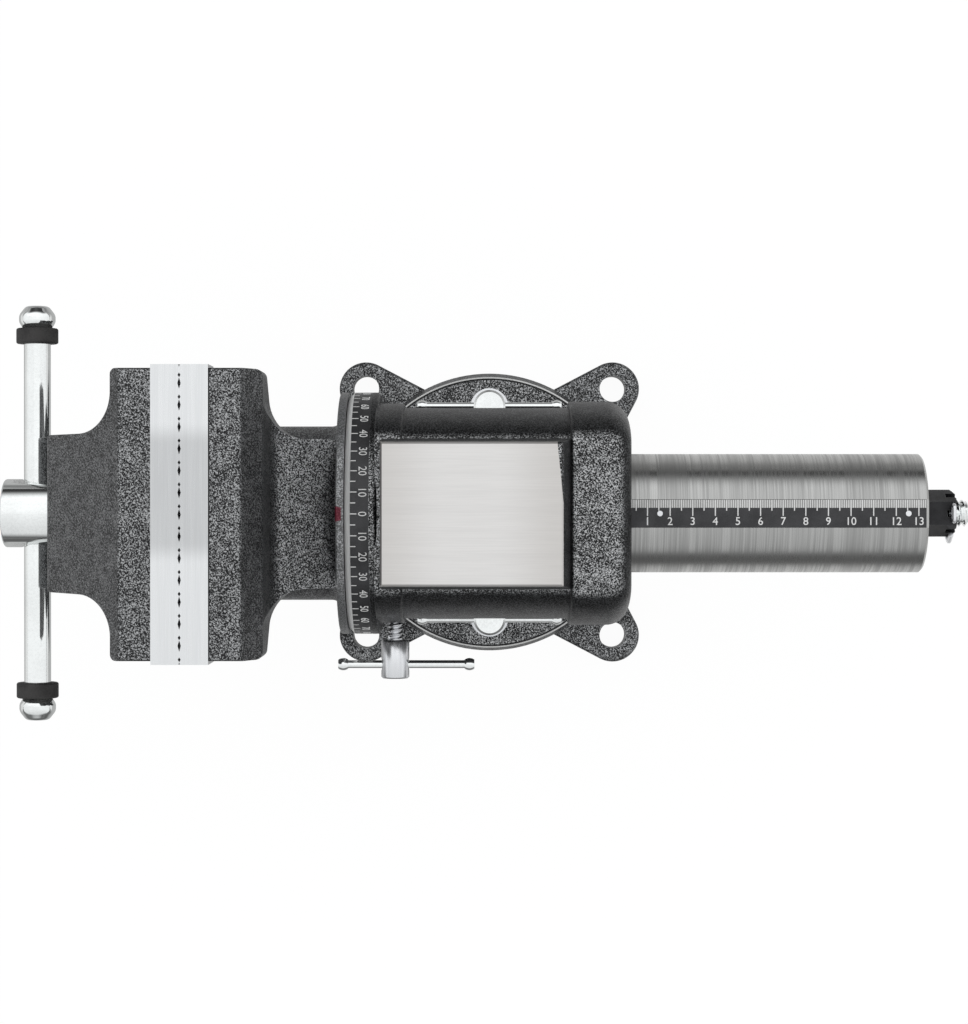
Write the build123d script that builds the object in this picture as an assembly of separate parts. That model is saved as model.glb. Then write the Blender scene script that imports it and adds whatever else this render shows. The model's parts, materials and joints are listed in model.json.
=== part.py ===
from build123d import *
import math
import os

# Bench vise with a swivel base and a head that turns about the spindle axis.
# Millimetres, +Z up. The origin is on the swivel axis, at the underside of the base.
# The spindle axis runs along X, and the front jaw is on the -X side.

# Clearances
gap = 0.3            # curved faces that turn or slide on each other
flange_gap = 0.3     # between the head's flange and the dial ring
thread_gap = 0.12    # radial play of a screw in the thread that it turns in
snug = 0.05          # radial play of pieces that are fixed together
slot_gap = 0.4       # square pieces in slots and pockets

# Heights
base_h = 32.0
turntable_t = 12.0
ring_clear = 6.5     # between the turntable and the dial ring over it
jaw_rise = 95.0      # jaw top over the spindle axis
anvil_rise = 67.0    # anvil face over the spindle axis

# Base
turntable_r = 64.5
base_foot_r = 67.5
lug_count = 4
lug_pcd = 170.0
lug_hole_r = 6.35
lug_r = 13.0
lug_t = 14.0
lug_root_w = 46.0    # width of a lug where it leaves the disc
underside_depth = 5.0
underside_r_in = 25.0
underside_r_out = 57.0
underside_fillet = 2.0
base_shoulder = 2.0  # height of the base's straight upper edge
base_foot_fillet = 3.0
lug_fillet = 2.5

# Swivel bolts in the annular T-slot, and their nuts
lock_circle_r = 50.0
lock_bolt_r = 5.0
lock_head_w = 16.0   # across the slot
lock_head_l = 20.0   # along the slot
lock_head_t = 8.0
slot_lip_t = 8.0
slot_room = 2.0      # under the bolt heads
lock_washer_r = 9.0
lock_washer_t = 2.0
lock_nut_r = 7.4
lock_nut_h = 20.0
lock_bar_rise = 12.0  # bar centre over the nut's foot
lock_bar_l = 67.7
lock_nut_chamfer = 1.0
bolt_end_gap = 0.5   # between a swivel bolt's end and its nut's cross hole
tommy_r = 1.8
tommy_ball_r = 2.8
tommy_ball_l = 4.4
tommy_ball_face_r = 2.1
tommy_gap = 0.15

# Pivot bolt
pivot_r = 8.0
pivot_head_af = 24.0
pivot_head_t = 10.0
pivot_sink = 1.0     # bolt head over the bench
pivot_washer_r = 15.0
pivot_washer_t = 3.0
pivot_room = 1.0     # around the washer in its recess
pivot_roof = 7.7     # metal between the bolt's end and the bore over it

# Swivelling body, stations along X
ring_front_x = -63.0
ring_r = 54.5
ring_l = 14.0
ring_chamfer = 2.5
dial_w = 8.0
dial_t = 0.55
body_l = 124.5
shoulder_l = 11.0
shoulder_half_w = 49.5
shoulder_rise = 52.5
barrel_half_w = 47.5
barrel_flat_half = 30.0
barrel_rise = 51.0
dome_l = 26.5
dome_half_w = 50.3
dome_flat_half = 31.0
dome_rise = 54.5
dome_edge_r = 9.0
step_fillet = 1.5    # at the steps between ring, shoulder, barrel and dome
anvil_l = 78.3
anvil_w = 61.6
anvil_setback = 2.0  # anvil's front face behind the dial ring
anvil_draft = 2.0    # added to each side at the anvil's foot
anvil_heel = 5.0     # added at the back of the anvil's foot
anvil_chamfer = 0.8
turntable_chamfer = 1.6
pedestal_half_w = 30.0
pedestal_front = 44.0
pedestal_back = 52.0
pedestal_corner_r = 14.0
pedestal_fillet = 6.0

# Head: hub, neck and flange of the rear jaw
hub_r = 38.0
flange_t = 3.7
flange_fillet = 1.0
neck_r = 39.2
neck_fillet = 4.0
neck_l = 28.8
neck_half_w = 32.4
neck_rise_front = 61.0
neck_rise_back = 45.0
retainer_r = 43.5
retainer_t = 5.0
retainer_recess = 6.0
retainer_screw_circle = 32.5
retainer_screw_count = 4
retainer_screw_r = 2.5
retainer_screw_l = 12.0
retainer_chamfer = 0.8

# Jaws
plate_w = 125.0
plate_t = 12.0
plate_h = 22.0
jaw_cast_w = 122.0
jaw_land = 13.2      # flat top behind each plate
throat = 8.0         # between the castings under the plates
front_wing_t = 17.8
rear_wing_t = 21.4
wing_drop = 35.0
front_arc_r = 17.0
rear_arc_r = 16.0
nose_l = 35.6
nose_r = 34.4
nose_wall = 8.6
wing_root_rise = 29.0  # where the wings run out into the nose's sides
wing_tip_r = 7.0
wing_root_r = 14.0
boss_corner_r = 6.0
rear_brow_drop = 15.0  # slope behind the rear jaw's flat top
rear_brow_run = 2.0
cast_edge_r = 2.5    # small edges of the castings
cast_corner_r = 4.0  # larger ones under the head
brow_r = 8.0
cut_pitch = 9.1      # diamond cut of the plates, along the jaw
cut_depth = 0.7
cut_half_w = 1.7
plate_screw_reach = 40.0
plate_screw_r = 4.0
plate_screw_l = 12.0
screw_head_ratio = 1.55
screw_sink = 0.6     # screw heads under their faces

# Pipe jaws under the head
pipe_w = 50.0
pipe_t = 17.0
pipe_h = 36.0
pipe_lip = 6.0       # casting under each pipe jaw
pipe_drop = 85.0     # lowest point of the castings under the spindle axis
pipe_cast_margin = 2.0  # casting beside each pipe jaw
pipe_wall_lean = 4.0
pipe_stand_off = 2.0  # pipe jaw face behind the plate face
pipe_vee_depth = 11.0
pipe_vee_half = 14.0
pipe_teeth = 6
pipe_tooth_depth = 1.0
pipe_wall = 13.0
pipe_screw_r = 3.0
pipe_screw_reach = 14.0
pipe_screw_bite = 5.0

# Slide bar and ruler
bar_r = 26.75
bar_bore_r = 15.5
bar_l = 380.3
bar_chamfer = 1.0
bar_slot_w = 14.0
bar_slot_lead = 3.0  # slot in front of the spindle nut
bar_pin_r = 4.0
bar_pin_setback = 10.0
bush_l = 10.0
bush_pin_r = 2.5
bush_pin_l = 15.95
ruler_w = 12.5
ruler_t = 0.6
ruler_l = 138.0
ruler_end_gap = 1.2
ruler_sink = 0.9     # ruler face under the bar's top line
rivet_r = 1.35
rivet_proud = 0.3
rivet_depth = 3.0
rivet_first = 20.1   # from the ruler's front end
rivet_step = 110.0

# Spindle
spindle_r = 11.0
spindle_head_r = 15.4
spindle_head_l = 25.4
spindle_dome = 1.6
thrust_washer_t = 2.5
thrust_washer_proud = 0.4
tail_r = 6.1
tail_front = 13.3    # thin tail starts this far before the bar's rear end
tail_proud = 21.2
nut_l = 18.0
nut_setback = 4.0    # behind the spindle nut, to the hub's rear end
nut_leg_reach = 33.0
nut_screw_r = 3.0
nut_screw_l = 17.0

# Tail nut and split pin
tail_washer_r = 11.5
tail_washer_t = 2.0
castle_af = 18.4
castle_h = 13.6
castle_slot_w = 3.2
castle_slot_depth = 4.6
castle_crown = 2.2   # length of the rounded crown
split_wire_r = 1.1
split_eye_r = 0.9     # wire of the eye
split_eye_l = 9.0
split_eye_h = 5.0
split_stand_off = 0.8  # leg clear of the nut's flats

# Handle
handle_r = 6.0
handle_l = 187.0
handle_inset = 9.5   # handle axis in front of the spindle head's rear face
handle_gap = 0.2
knob_r = 8.15
knob_l = 10.0
knob_bite = 6.0
rubber_r = 9.4
rubber_l = 7.0

# Head lock
head_lock_setback = 6.3   # behind the dial ring
head_lock_r = 3.25
head_lock_barrel_r = 6.35
head_lock_barrel_l = 17.4
head_lock_stand_off = 7.7  # bare thread between the body and the barrel
head_lock_bar_reach = 11.1  # bar centre from the barrel's inner end
head_lock_bar_l = 61.5
head_lock_bar_shift = 5.0
head_lock_chamfer = 0.7
countersink = 1.3
shoe_r = 4.5
shoe_l = 5.0

# Stations that follow from the sizes above
body_back_x = ring_front_x + body_l
hub_end_x = body_back_x - retainer_recess
flange_back_x = ring_front_x - flange_gap
flange_front_x = flange_back_x - flange_t
rear_wing_x = flange_front_x - neck_l
rear_seat_x = rear_wing_x - rear_wing_t
meet_x = rear_seat_x - plate_t
front_seat_x = meet_x - plate_t
front_wing_x = front_seat_x - front_wing_t
nose_x = front_wing_x - nose_l
rear_inner_x = meet_x + throat / 2
front_inner_x = meet_x - throat / 2
bar_front_x = nose_x + nose_wall
bar_back_x = bar_front_x + bar_l
head_back_x = nose_x - thrust_washer_proud
head_front_x = head_back_x - spindle_head_l
handle_x = head_back_x - handle_inset
nut_back_x = hub_end_x - nut_setback
nut_front_x = nut_back_x - nut_l
flange_r = ring_r
turntable_top_z = base_h + turntable_t
axis_h = turntable_top_z + ring_clear + ring_r
jaw_top_z = axis_h + jaw_rise
bar_guide_r = bar_r + gap
bore_r = hub_r + gap
pivot_end_z = axis_h - bore_r - pivot_roof


def rod(start, end, radius):
    """Round rod from one point to another."""
    line = Vector(*end) - Vector(*start)
    return Plane(origin=start, z_dir=line) * Cylinder(
        radius, line.length, align=(Align.CENTER, Align.CENTER, Align.MIN)
    )


def cone(start, end, r_start, r_end):
    """Tapered rod from one point to another."""
    line = Vector(*end) - Vector(*start)
    return Plane(origin=start, z_dir=line) * Cone(
        r_start, r_end, line.length, align=(Align.CENTER, Align.CENTER, Align.MIN)
    )


def axial(x0, x1, radius):
    """Rod on the spindle axis between two stations."""
    return rod((x0, 0, axis_h), (x1, 0, axis_h), radius)


def block(x0, x1, y0, y1, z0, z1):
    """Box between two corners."""
    size = (x1 - x0, y1 - y0, z1 - z0)
    return Pos(x0, y0, z0) * Box(*size, align=(Align.MIN, Align.MIN, Align.MIN))


def outline(points):
    """Closed outline through points of (across, up, corner radius)."""
    face = make_face(Polyline(*[(a, b) for a, b, _ in points], close=True))
    for a, b, radius in points:
        if radius:
            corner = face.vertices().sort_by_distance((a, b, 0))[0]
            face = fillet(corner, radius)
    return face


def both_sides(points):
    """Outline points of one half, followed by their mirror images."""
    return points + [(-a, b, r) for a, b, r in reversed(points)]


def turned(origin, direction, points):
    """Solid of revolution from (along, radius, corner radius) points."""
    across = (0, 1, 0) if direction[2] else (0, 0, 1)
    return Plane(origin=origin, x_dir=direction, z_dir=across) * revolve(outline(points), Axis.X)


def hex_prism(start, direction, across_flats, height, turn=0):
    """Hexagonal prism standing on a point."""
    face = RegularPolygon(across_flats / 2, 6, major_radius=False, rotation=turn)
    return Plane(origin=start, z_dir=direction) * extrude(face, height)


def flat_screw(seat, direction, radius, length):
    """Countersunk socket screw, its head's face at seat and its tip along direction."""
    head_r = radius * screw_head_ratio + 1
    head_t = head_r - radius
    way = Vector(*direction).normalized()
    face = Vector(*seat)
    neck = face + way * head_t
    tip = face + way * length
    screw = cone(tuple(face), tuple(neck), head_r, radius) + rod(tuple(neck), tuple(tip), radius)
    socket = hex_prism(tuple(face), tuple(way), radius * 1.2, head_t)
    return screw - socket


def flat_screw_hole(seat, direction, radius, length):
    """Room for a flat screw, open through the face that it is sunk under."""
    way = Vector(*direction).normalized()
    face = Vector(*seat)
    head_r = radius * screw_head_ratio + 1 + snug
    head_t = head_r - radius - snug
    neck = face + way * head_t
    mouth = face - way * (screw_sink + 1)
    tip = face + way * (length + snug)
    return (
        rod(tuple(mouth), tuple(face), head_r)
        + cone(tuple(face), tuple(neck), head_r, radius + snug)
        + rod(tuple(neck), tuple(tip), radius + snug)
    )


# Base

def lock_positions():
    """Centres of the two swivel bolts, left and right of the pedestal."""
    return {"left": (0, lock_circle_r), "right": (0, -lock_circle_r)}


def lug_angles():
    """Directions of the base lugs."""
    return [45 + k * 360 / lug_count for k in range(lug_count)]


def make_swivel_base():
    """Round base with four lugs, a machined top and a closed annular T-slot."""
    base = turned(
        (0, 0, 0), (0, 0, 1),
        [(0, 0, 0), (0, base_foot_r, 0), (lug_t, base_foot_r, base_foot_fillet),
         (base_h - base_shoulder, turntable_r, 0), (base_h, turntable_r, 0), (base_h, 0, 0)],
    )
    lug_reach = lug_pcd / 2
    lug = extrude(
        make_hull(
            (Pos(lug_reach, 0) * Circle(lug_r)).edges()
            + (Pos(base_foot_r - lug_r, 0) * Rectangle(1, lug_root_w)).edges()
        ),
        lug_t,
    )
    lug = fillet(lug.edges().group_by(Axis.Z)[-1].filter_by(GeomType.CIRCLE), lug_fillet)
    hole = rod((lug_reach, 0, -1), (lug_reach, 0, lug_t + 1), lug_hole_r)
    for angle in lug_angles():
        base += Rot(0, 0, angle) * lug
    for angle in lug_angles():
        base -= Rot(0, 0, angle) * hole
    half = lock_head_w / 2 + slot_gap
    corner = math.hypot(lock_circle_r + lock_head_w / 2, lock_head_l / 2) + slot_gap
    channel_top = base_h - slot_lip_t
    channel_foot = channel_top - lock_head_t - slot_room
    neck = lock_bolt_r + slot_gap
    base -= turned(
        (0, 0, 0), (0, 0, 1),
        [(channel_foot, lock_circle_r - half, 0), (channel_foot, corner, 0), (channel_top, corner, 0),
         (channel_top, lock_circle_r + neck, 0), (base_h + 1, lock_circle_r + neck, 0),
         (base_h + 1, lock_circle_r - neck, 0), (channel_top, lock_circle_r - neck, 0),
         (channel_top, lock_circle_r - half, 0)],
    )
    base -= turned(
        (0, 0, 0), (0, 0, 1),
        [(-1, underside_r_in, 0), (-1, underside_r_out, 0),
         (underside_depth, underside_r_out - underside_fillet, underside_fillet),
         (underside_depth, underside_r_in + underside_fillet, underside_fillet)],
    )
    entry_w = lock_head_w + 2 * slot_gap
    entry_l = lock_head_l + 2 * slot_gap
    base -= block(lock_circle_r - entry_w / 2, lock_circle_r + entry_w / 2, -entry_l / 2, entry_l / 2,
                  0, channel_foot + 1)
    seat_z = pivot_sink + pivot_head_t + pivot_washer_t
    base -= rod((0, 0, -1), (0, 0, seat_z), pivot_washer_r + pivot_room)
    base -= rod((0, 0, seat_z), (0, 0, base_h + 1), pivot_r + gap)
    return base


def make_pivot_bolt():
    """Hexagon bolt that holds the body down on the base, screwed in from below."""
    head = hex_prism((0, 0, pivot_sink), (0, 0, 1), pivot_head_af, pivot_head_t)
    return head + rod((0, 0, pivot_sink + pivot_head_t), (0, 0, pivot_end_z), pivot_r)


def make_pivot_washer():
    """Washer between the pivot bolt's head and the base."""
    foot = pivot_sink + pivot_head_t
    ring = rod((0, 0, foot), (0, 0, foot + pivot_washer_t), pivot_washer_r)
    return ring - rod((0, 0, foot - 1), (0, 0, foot + pivot_washer_t + 1), pivot_r + snug)


# Swivelling body

def arch(x0, x1, half_w, flat_half, rise):
    """Barrel length that is round under the spindle axis and flat-topped over it."""
    corner_w = half_w - flat_half
    section = make_face(
        ThreePointArc((half_w, 0), (0, -half_w), (-half_w, 0))
        + EllipticalCenterArc((flat_half, 0), corner_w, rise, start_angle=0, arc_size=90)
        + Line((flat_half, rise), (-flat_half, rise))
        + EllipticalCenterArc((-flat_half, 0), corner_w, rise, start_angle=90, arc_size=90)
    )
    return Plane(origin=(x0, 0, axis_h), x_dir=(0, 1, 0), z_dir=(1, 0, 0)) * extrude(section, x1 - x0)


def make_anvil():
    """Anvil block on the barrel, with draft on its sides and a heel behind."""
    front = ring_front_x + ring_l + anvil_setback
    foot_z = axis_h + barrel_rise - anvil_draft
    top_z = axis_h + anvil_rise
    top = Pos(front + anvil_l / 2, 0, top_z) * Rectangle(anvil_l, anvil_w)
    foot_l = anvil_l + anvil_heel
    foot = Pos(front + foot_l / 2, 0, foot_z) * Rectangle(foot_l, anvil_w + 2 * anvil_draft)
    anvil = loft([foot.face(), top.face()], ruled=True)
    return chamfer(anvil.edges().group_by(Axis.Z)[-1], anvil_chamfer)


def make_pedestal():
    """Turntable and the pedestal that carries the barrel."""
    table = Pos(0, 0, base_h) * Cylinder(
        turntable_r, turntable_t, align=(Align.CENTER, Align.CENTER, Align.MIN)
    )
    table = chamfer(table.edges().group_by(Axis.Z)[-1], turntable_chamfer)
    length = pedestal_front + pedestal_back
    middle = (pedestal_back - pedestal_front) / 2
    face = Pos(middle, 0, turntable_top_z) * RectangleRounded(length, 2 * pedestal_half_w, pedestal_corner_r)
    post = extrude(face, axis_h - turntable_top_z - barrel_half_w / 2)
    stand = table + post
    foot_edges = stand.edges().filter_by_position(Axis.Z, turntable_top_z - 0.01, turntable_top_z + 0.01)
    rim = turntable_r - 2 * turntable_chamfer
    inner = foot_edges.filter_by(lambda edge: math.hypot((edge @ 0.5).X, (edge @ 0.5).Y) < rim)
    return fillet(inner, pedestal_fillet)


def head_lock_x():
    """Station of the head-lock bolt."""
    return ring_front_x + ring_l + head_lock_setback


def make_body_casting():
    """Turntable, pedestal, barrel, dial ring, anvil and rear dome in one casting."""
    ring_back = ring_front_x + ring_l
    dome_front = body_back_x - dome_l
    shoulder_back = ring_back + shoulder_l
    dome = arch(dome_front, body_back_x, dome_half_w, dome_flat_half, dome_rise)
    dome = fillet(dome.edges().group_by(Axis.X)[-1], dome_edge_r)
    dome = fillet(dome.edges().group_by(Axis.X)[0], step_fillet)
    shoulder = arch(ring_back - 1, shoulder_back, shoulder_half_w, barrel_flat_half, shoulder_rise)
    shoulder = fillet(shoulder.edges().group_by(Axis.X)[-1], step_fillet)
    barrel = arch(shoulder_back - 2, dome_front + 2, barrel_half_w, barrel_flat_half, barrel_rise)
    dial_front = ring_front_x + ring_chamfer
    ring = turned(
        (0, 0, axis_h), (1, 0, 0),
        [(ring_front_x, 0, 0), (ring_front_x, ring_r - ring_chamfer, 0), (dial_front, ring_r, 0),
         (ring_back, ring_r, step_fillet), (ring_back, 0, 0)],
    )
    body = make_pedestal() + barrel + shoulder + dome + make_anvil() + ring
    groove = axial(dial_front, dial_front + dial_w, ring_r + snug)
    body -= groove - axial(ring_front_x, ring_front_x + ring_l, ring_r - dial_t)
    body -= axial(ring_front_x - 1, body_back_x + 1, bore_r)
    body -= axial(hub_end_x, body_back_x + 1, retainer_r + slot_gap)
    for x, y in lock_positions().values():
        body -= rod((x, y, base_h - 1), (x, y, turntable_top_z + 1), lock_bolt_r + snug)
    body -= rod((0, 0, base_h - 1), (0, 0, pivot_end_z + pivot_room), pivot_r + snug)
    x = head_lock_x()
    body -= rod((x, 0, axis_h), (x, -shoulder_half_w - 1, axis_h), head_lock_r + thread_gap)
    body -= rod((x, 0, axis_h), (x, -bore_r - shoe_l - snug, axis_h), shoe_r + snug)
    return body


def make_angle_dial():
    """Thin graduated band in the groove of the dial ring."""
    front = ring_front_x + ring_chamfer + snug
    back = front + dial_w - 2 * snug
    band = axial(front, back, ring_r - snug)
    return band - axial(front - 1, back + 1, ring_r - dial_t + snug / 5)


def make_brake_shoe():
    """Brass shoe between the head-lock bolt and the hub, hollowed to the bore."""
    x = head_lock_x()
    shoe = rod((x, -bore_r + shoe_r, axis_h), (x, -bore_r - shoe_l, axis_h), shoe_r)
    return shoe - axial(x - 2 * shoe_r, x + 2 * shoe_r, bore_r)


def make_swivel_bolts():
    """The two T-bolts that stand in the base's slot."""
    head_top = base_h - slot_lip_t
    top = turntable_top_z + lock_washer_t + lock_bar_rise - tommy_r - tommy_gap - bolt_end_gap
    bolts = []
    for x, y in lock_positions().values():
        head = block(x - lock_head_l / 2, x + lock_head_l / 2, y - lock_head_w / 2, y + lock_head_w / 2,
                     head_top - lock_head_t, head_top)
        bolts.append(head + rod((x, y, head_top), (x, y, top), lock_bolt_r))
    return bolts


def make_swivel_washers():
    """Washers under the two swivel nuts."""
    foot = turntable_top_z
    top = foot + lock_washer_t
    washers = []
    for x, y in lock_positions().values():
        washer = rod((x, y, foot), (x, y, top), lock_washer_r)
        washers.append(washer - rod((x, y, foot - 1), (x, y, top + 1), lock_bolt_r + snug))
    return washers


def cross_hole(centre, direction, radius, reach):
    """Through hole for a tommy bar, countersunk at both mouths of a barrel."""
    way = Vector(*direction)
    middle = Vector(*centre)
    hole = rod(tuple(middle - way * (reach + 1)), tuple(middle + way * (reach + 1)), radius)
    for side in (way, way * -1):
        mouth = middle + side * (reach + gap)
        throat_end = middle + side * (reach + gap - countersink - slot_gap)
        hole += cone(tuple(throat_end), tuple(mouth), radius, radius + countersink)
    return hole


def lock_bar_centre(side):
    """Centre of a swivel nut's bar."""
    x, y = lock_positions()[side]
    return (x, y, turntable_top_z + lock_washer_t + lock_bar_rise)


def make_swivel_nut(side):
    """Barrel nut of a swivel bolt, bored across for its bar."""
    x, y, bar_z = lock_bar_centre(side)
    foot = turntable_top_z + lock_washer_t
    top = foot + lock_nut_h
    nut = rod((x, y, foot), (x, y, top), lock_nut_r)
    nut = chamfer(nut.edges().group_by(Axis.Z)[-1], lock_nut_chamfer)
    nut -= rod((x, y, foot - 1), (x, y, bar_z - tommy_r - tommy_gap - bolt_end_gap / 2),
               lock_bolt_r + thread_gap)
    return nut - cross_hole((x, y, bar_z), (1, 0, 0), tommy_r + tommy_gap, lock_nut_r)


def make_bar(centre, length):
    """Sliding bar along X, ending inside its two balls."""
    x, y, z = centre
    half = (length - tommy_ball_l) / 2
    return rod((x - half, y, z), (x + half, y, z), tommy_r)


def make_bar_balls(centre, length):
    """The two flattened balls pressed on a bar's ends."""
    x, y, z = centre
    inner = length / 2 - tommy_ball_l
    bore_end = tommy_ball_l / 2 + snug
    bore_side = tommy_r + snug
    section = make_face(
        Polyline((0, bore_side), (0, tommy_ball_face_r))
        + ThreePointArc((0, tommy_ball_face_r), (tommy_ball_l / 2, tommy_ball_r), (tommy_ball_l, tommy_ball_face_r))
        + Polyline((tommy_ball_l, tommy_ball_face_r), (tommy_ball_l, 0), (bore_end, 0), (bore_end, bore_side),
                   (0, bore_side))
    )
    ball = revolve(section, Axis.X)
    return [
        Plane(origin=(x + side * inner, y, z), x_dir=(side, 0, 0), z_dir=(0, 0, 1)) * ball
        for side in (-1, 1)
    ]


# Head lock

def head_lock_stations():
    """Y of the barrel's inner end, its outer end, and the bar."""
    inner = -shoulder_half_w - head_lock_stand_off
    return inner, inner - head_lock_barrel_l, inner - head_lock_bar_reach


def head_lock_bar_centre():
    """Centre of the head-lock bar at rest."""
    return (head_lock_x() + head_lock_bar_shift, head_lock_stations()[2], axis_h)


def make_head_lock_bolt():
    """Lock bolt with its cross-bored barrel head."""
    x = head_lock_x()
    inner, outer, bar_y = head_lock_stations()
    barrel = rod((x, inner, axis_h), (x, outer, axis_h), head_lock_barrel_r)
    barrel = chamfer(barrel.edges().filter_by(GeomType.CIRCLE), head_lock_chamfer)
    shank = rod((x, -bore_r - shoe_l, axis_h), (x, inner - 1, axis_h), head_lock_r)
    bolt = barrel + shank
    return bolt - cross_hole((x, bar_y, axis_h), (1, 0, 0), tommy_r + tommy_gap, head_lock_barrel_r)


# Jaw castings

def jaw_front_outline():
    """Half outline of both jaw castings, looking along the spindle."""
    half = jaw_cast_w / 2
    pipe_half = pipe_w / 2 + pipe_cast_margin
    boss_drop = math.sqrt(nose_r ** 2 - pipe_half ** 2)
    return [
        (half, jaw_top_z, step_fillet),
        (half, jaw_top_z - wing_drop, wing_tip_r),
        (nose_r, axis_h + wing_root_rise, wing_root_r),
        (nose_r, axis_h - boss_drop / 2, boss_corner_r),
        (pipe_half, axis_h - boss_drop, boss_corner_r),
        (pipe_half, axis_h - pipe_drop, cast_edge_r),
    ]


def cast_jaw(plan, side):
    """Common volume of a jaw's plan, side and front outlines."""
    reach = jaw_cast_w
    across = 4 * nose_l
    from_above = extrude(outline(plan), jaw_top_z + 1)
    from_side = Plane.XZ * extrude(outline(side), reach, both=True)
    front_plane = Plane(origin=(meet_x, 0, 0), x_dir=(0, 1, 0), z_dir=(1, 0, 0))
    from_front = front_plane * extrude(outline(both_sides(jaw_front_outline())), across, both=True)
    return from_above & from_side & from_front


def plan_points(points):
    """Half plan of (x, y, radius), closed by its mirror image."""
    return points + [(x, -y, r) for x, y, r in reversed(points)]


def plate_pocket(seat_x, inner_x):
    """Step that a jaw plate sits in."""
    low, high = sorted((seat_x, inner_x))
    grow = 1 if inner_x > seat_x else 0
    shrink = 1 - grow
    return block(low - shrink, high + grow, -plate_w, plate_w, jaw_top_z - plate_h, jaw_top_z + 2)


def pipe_z():
    """Height of the pipe jaws' middle at rest."""
    return axis_h - pipe_drop + pipe_lip + pipe_h / 2


def pipe_seat_x(side):
    """Rear face of a pipe jaw, side -1 at the front jaw and +1 at the rear."""
    return meet_x + side * (pipe_stand_off + pipe_t)


def pipe_pocket(side):
    """Pocket that a pipe jaw sits in, open to the other jaw."""
    low, high = sorted((pipe_seat_x(side), meet_x))
    z = pipe_z()
    return block(low, high, -plate_w, plate_w, z - pipe_h / 2, z + pipe_h / 2)


def pipe_screw_seats(side):
    """Head positions and direction of a pipe jaw's screws, in the casting's outer face."""
    outer = pipe_seat_x(side) + side * (pipe_wall - screw_sink)
    return [(outer, reach, pipe_z()) for reach in (-pipe_screw_reach, pipe_screw_reach)]


def plate_screw_seats(side):
    """Head positions of a plate's screws, sunk under its clamping face."""
    x = meet_x + side * (cut_depth + screw_sink)
    z = jaw_top_z - plate_h / 2
    return [(x, reach, z) for reach in (-plate_screw_reach, plate_screw_reach)]


def cut_screw_holes(casting, side):
    """Casting less the holes for its plate and pipe-jaw screws."""
    for seat in plate_screw_seats(side):
        casting -= flat_screw_hole(seat, (side, 0, 0), plate_screw_r, plate_t + plate_screw_l)
    for seat in pipe_screw_seats(side):
        length = pipe_wall - screw_sink + pipe_screw_bite
        casting -= flat_screw_hole(seat, (-side, 0, 0), pipe_screw_r, length)
    return casting


def make_front_jaw():
    """Front jaw casting with the nose that holds the slide bar."""
    half = jaw_cast_w / 2
    low_z = axis_h - pipe_drop
    pipe_outer = pipe_seat_x(-1) - pipe_wall
    plan = plan_points([
        (front_inner_x, half, step_fillet),
        (front_wing_x, half, cast_edge_r),
        (front_wing_x, nose_r, front_arc_r),
        (nose_x, nose_r, cast_edge_r),
    ])
    side = [
        (front_inner_x, jaw_top_z, 0),
        (front_seat_x - jaw_land, jaw_top_z, cast_edge_r),
        (nose_x, axis_h + nose_r, brow_r),
        (nose_x, axis_h - nose_r, boss_corner_r),
        (pipe_outer - pipe_wall_lean, axis_h - nose_r, brow_r),
        (pipe_outer, low_z + pipe_lip + pipe_h, cast_corner_r),
        (pipe_outer, low_z, cast_corner_r),
        (front_inner_x, low_z, cast_edge_r),
    ]
    jaw = cast_jaw(plan, side)
    boss = axial(nose_x, front_inner_x, nose_r)
    boss = fillet(boss.edges().group_by(Axis.X)[0], cast_edge_r)
    jaw += boss
    jaw -= plate_pocket(front_seat_x, front_inner_x)
    jaw -= pipe_pocket(-1)
    jaw -= axial(bar_front_x, front_inner_x + 1, bar_r + snug)
    jaw -= axial(nose_x - 1, bar_front_x + 1, spindle_r + gap)
    jaw -= axial(nose_x - 1, head_back_x + thrust_washer_t, spindle_head_r + snug)
    jaw = cut_screw_holes(jaw, -1)
    for pin in bar_pin_lines():
        jaw -= rod(*pin, bar_pin_r + snug)
    return jaw


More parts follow.
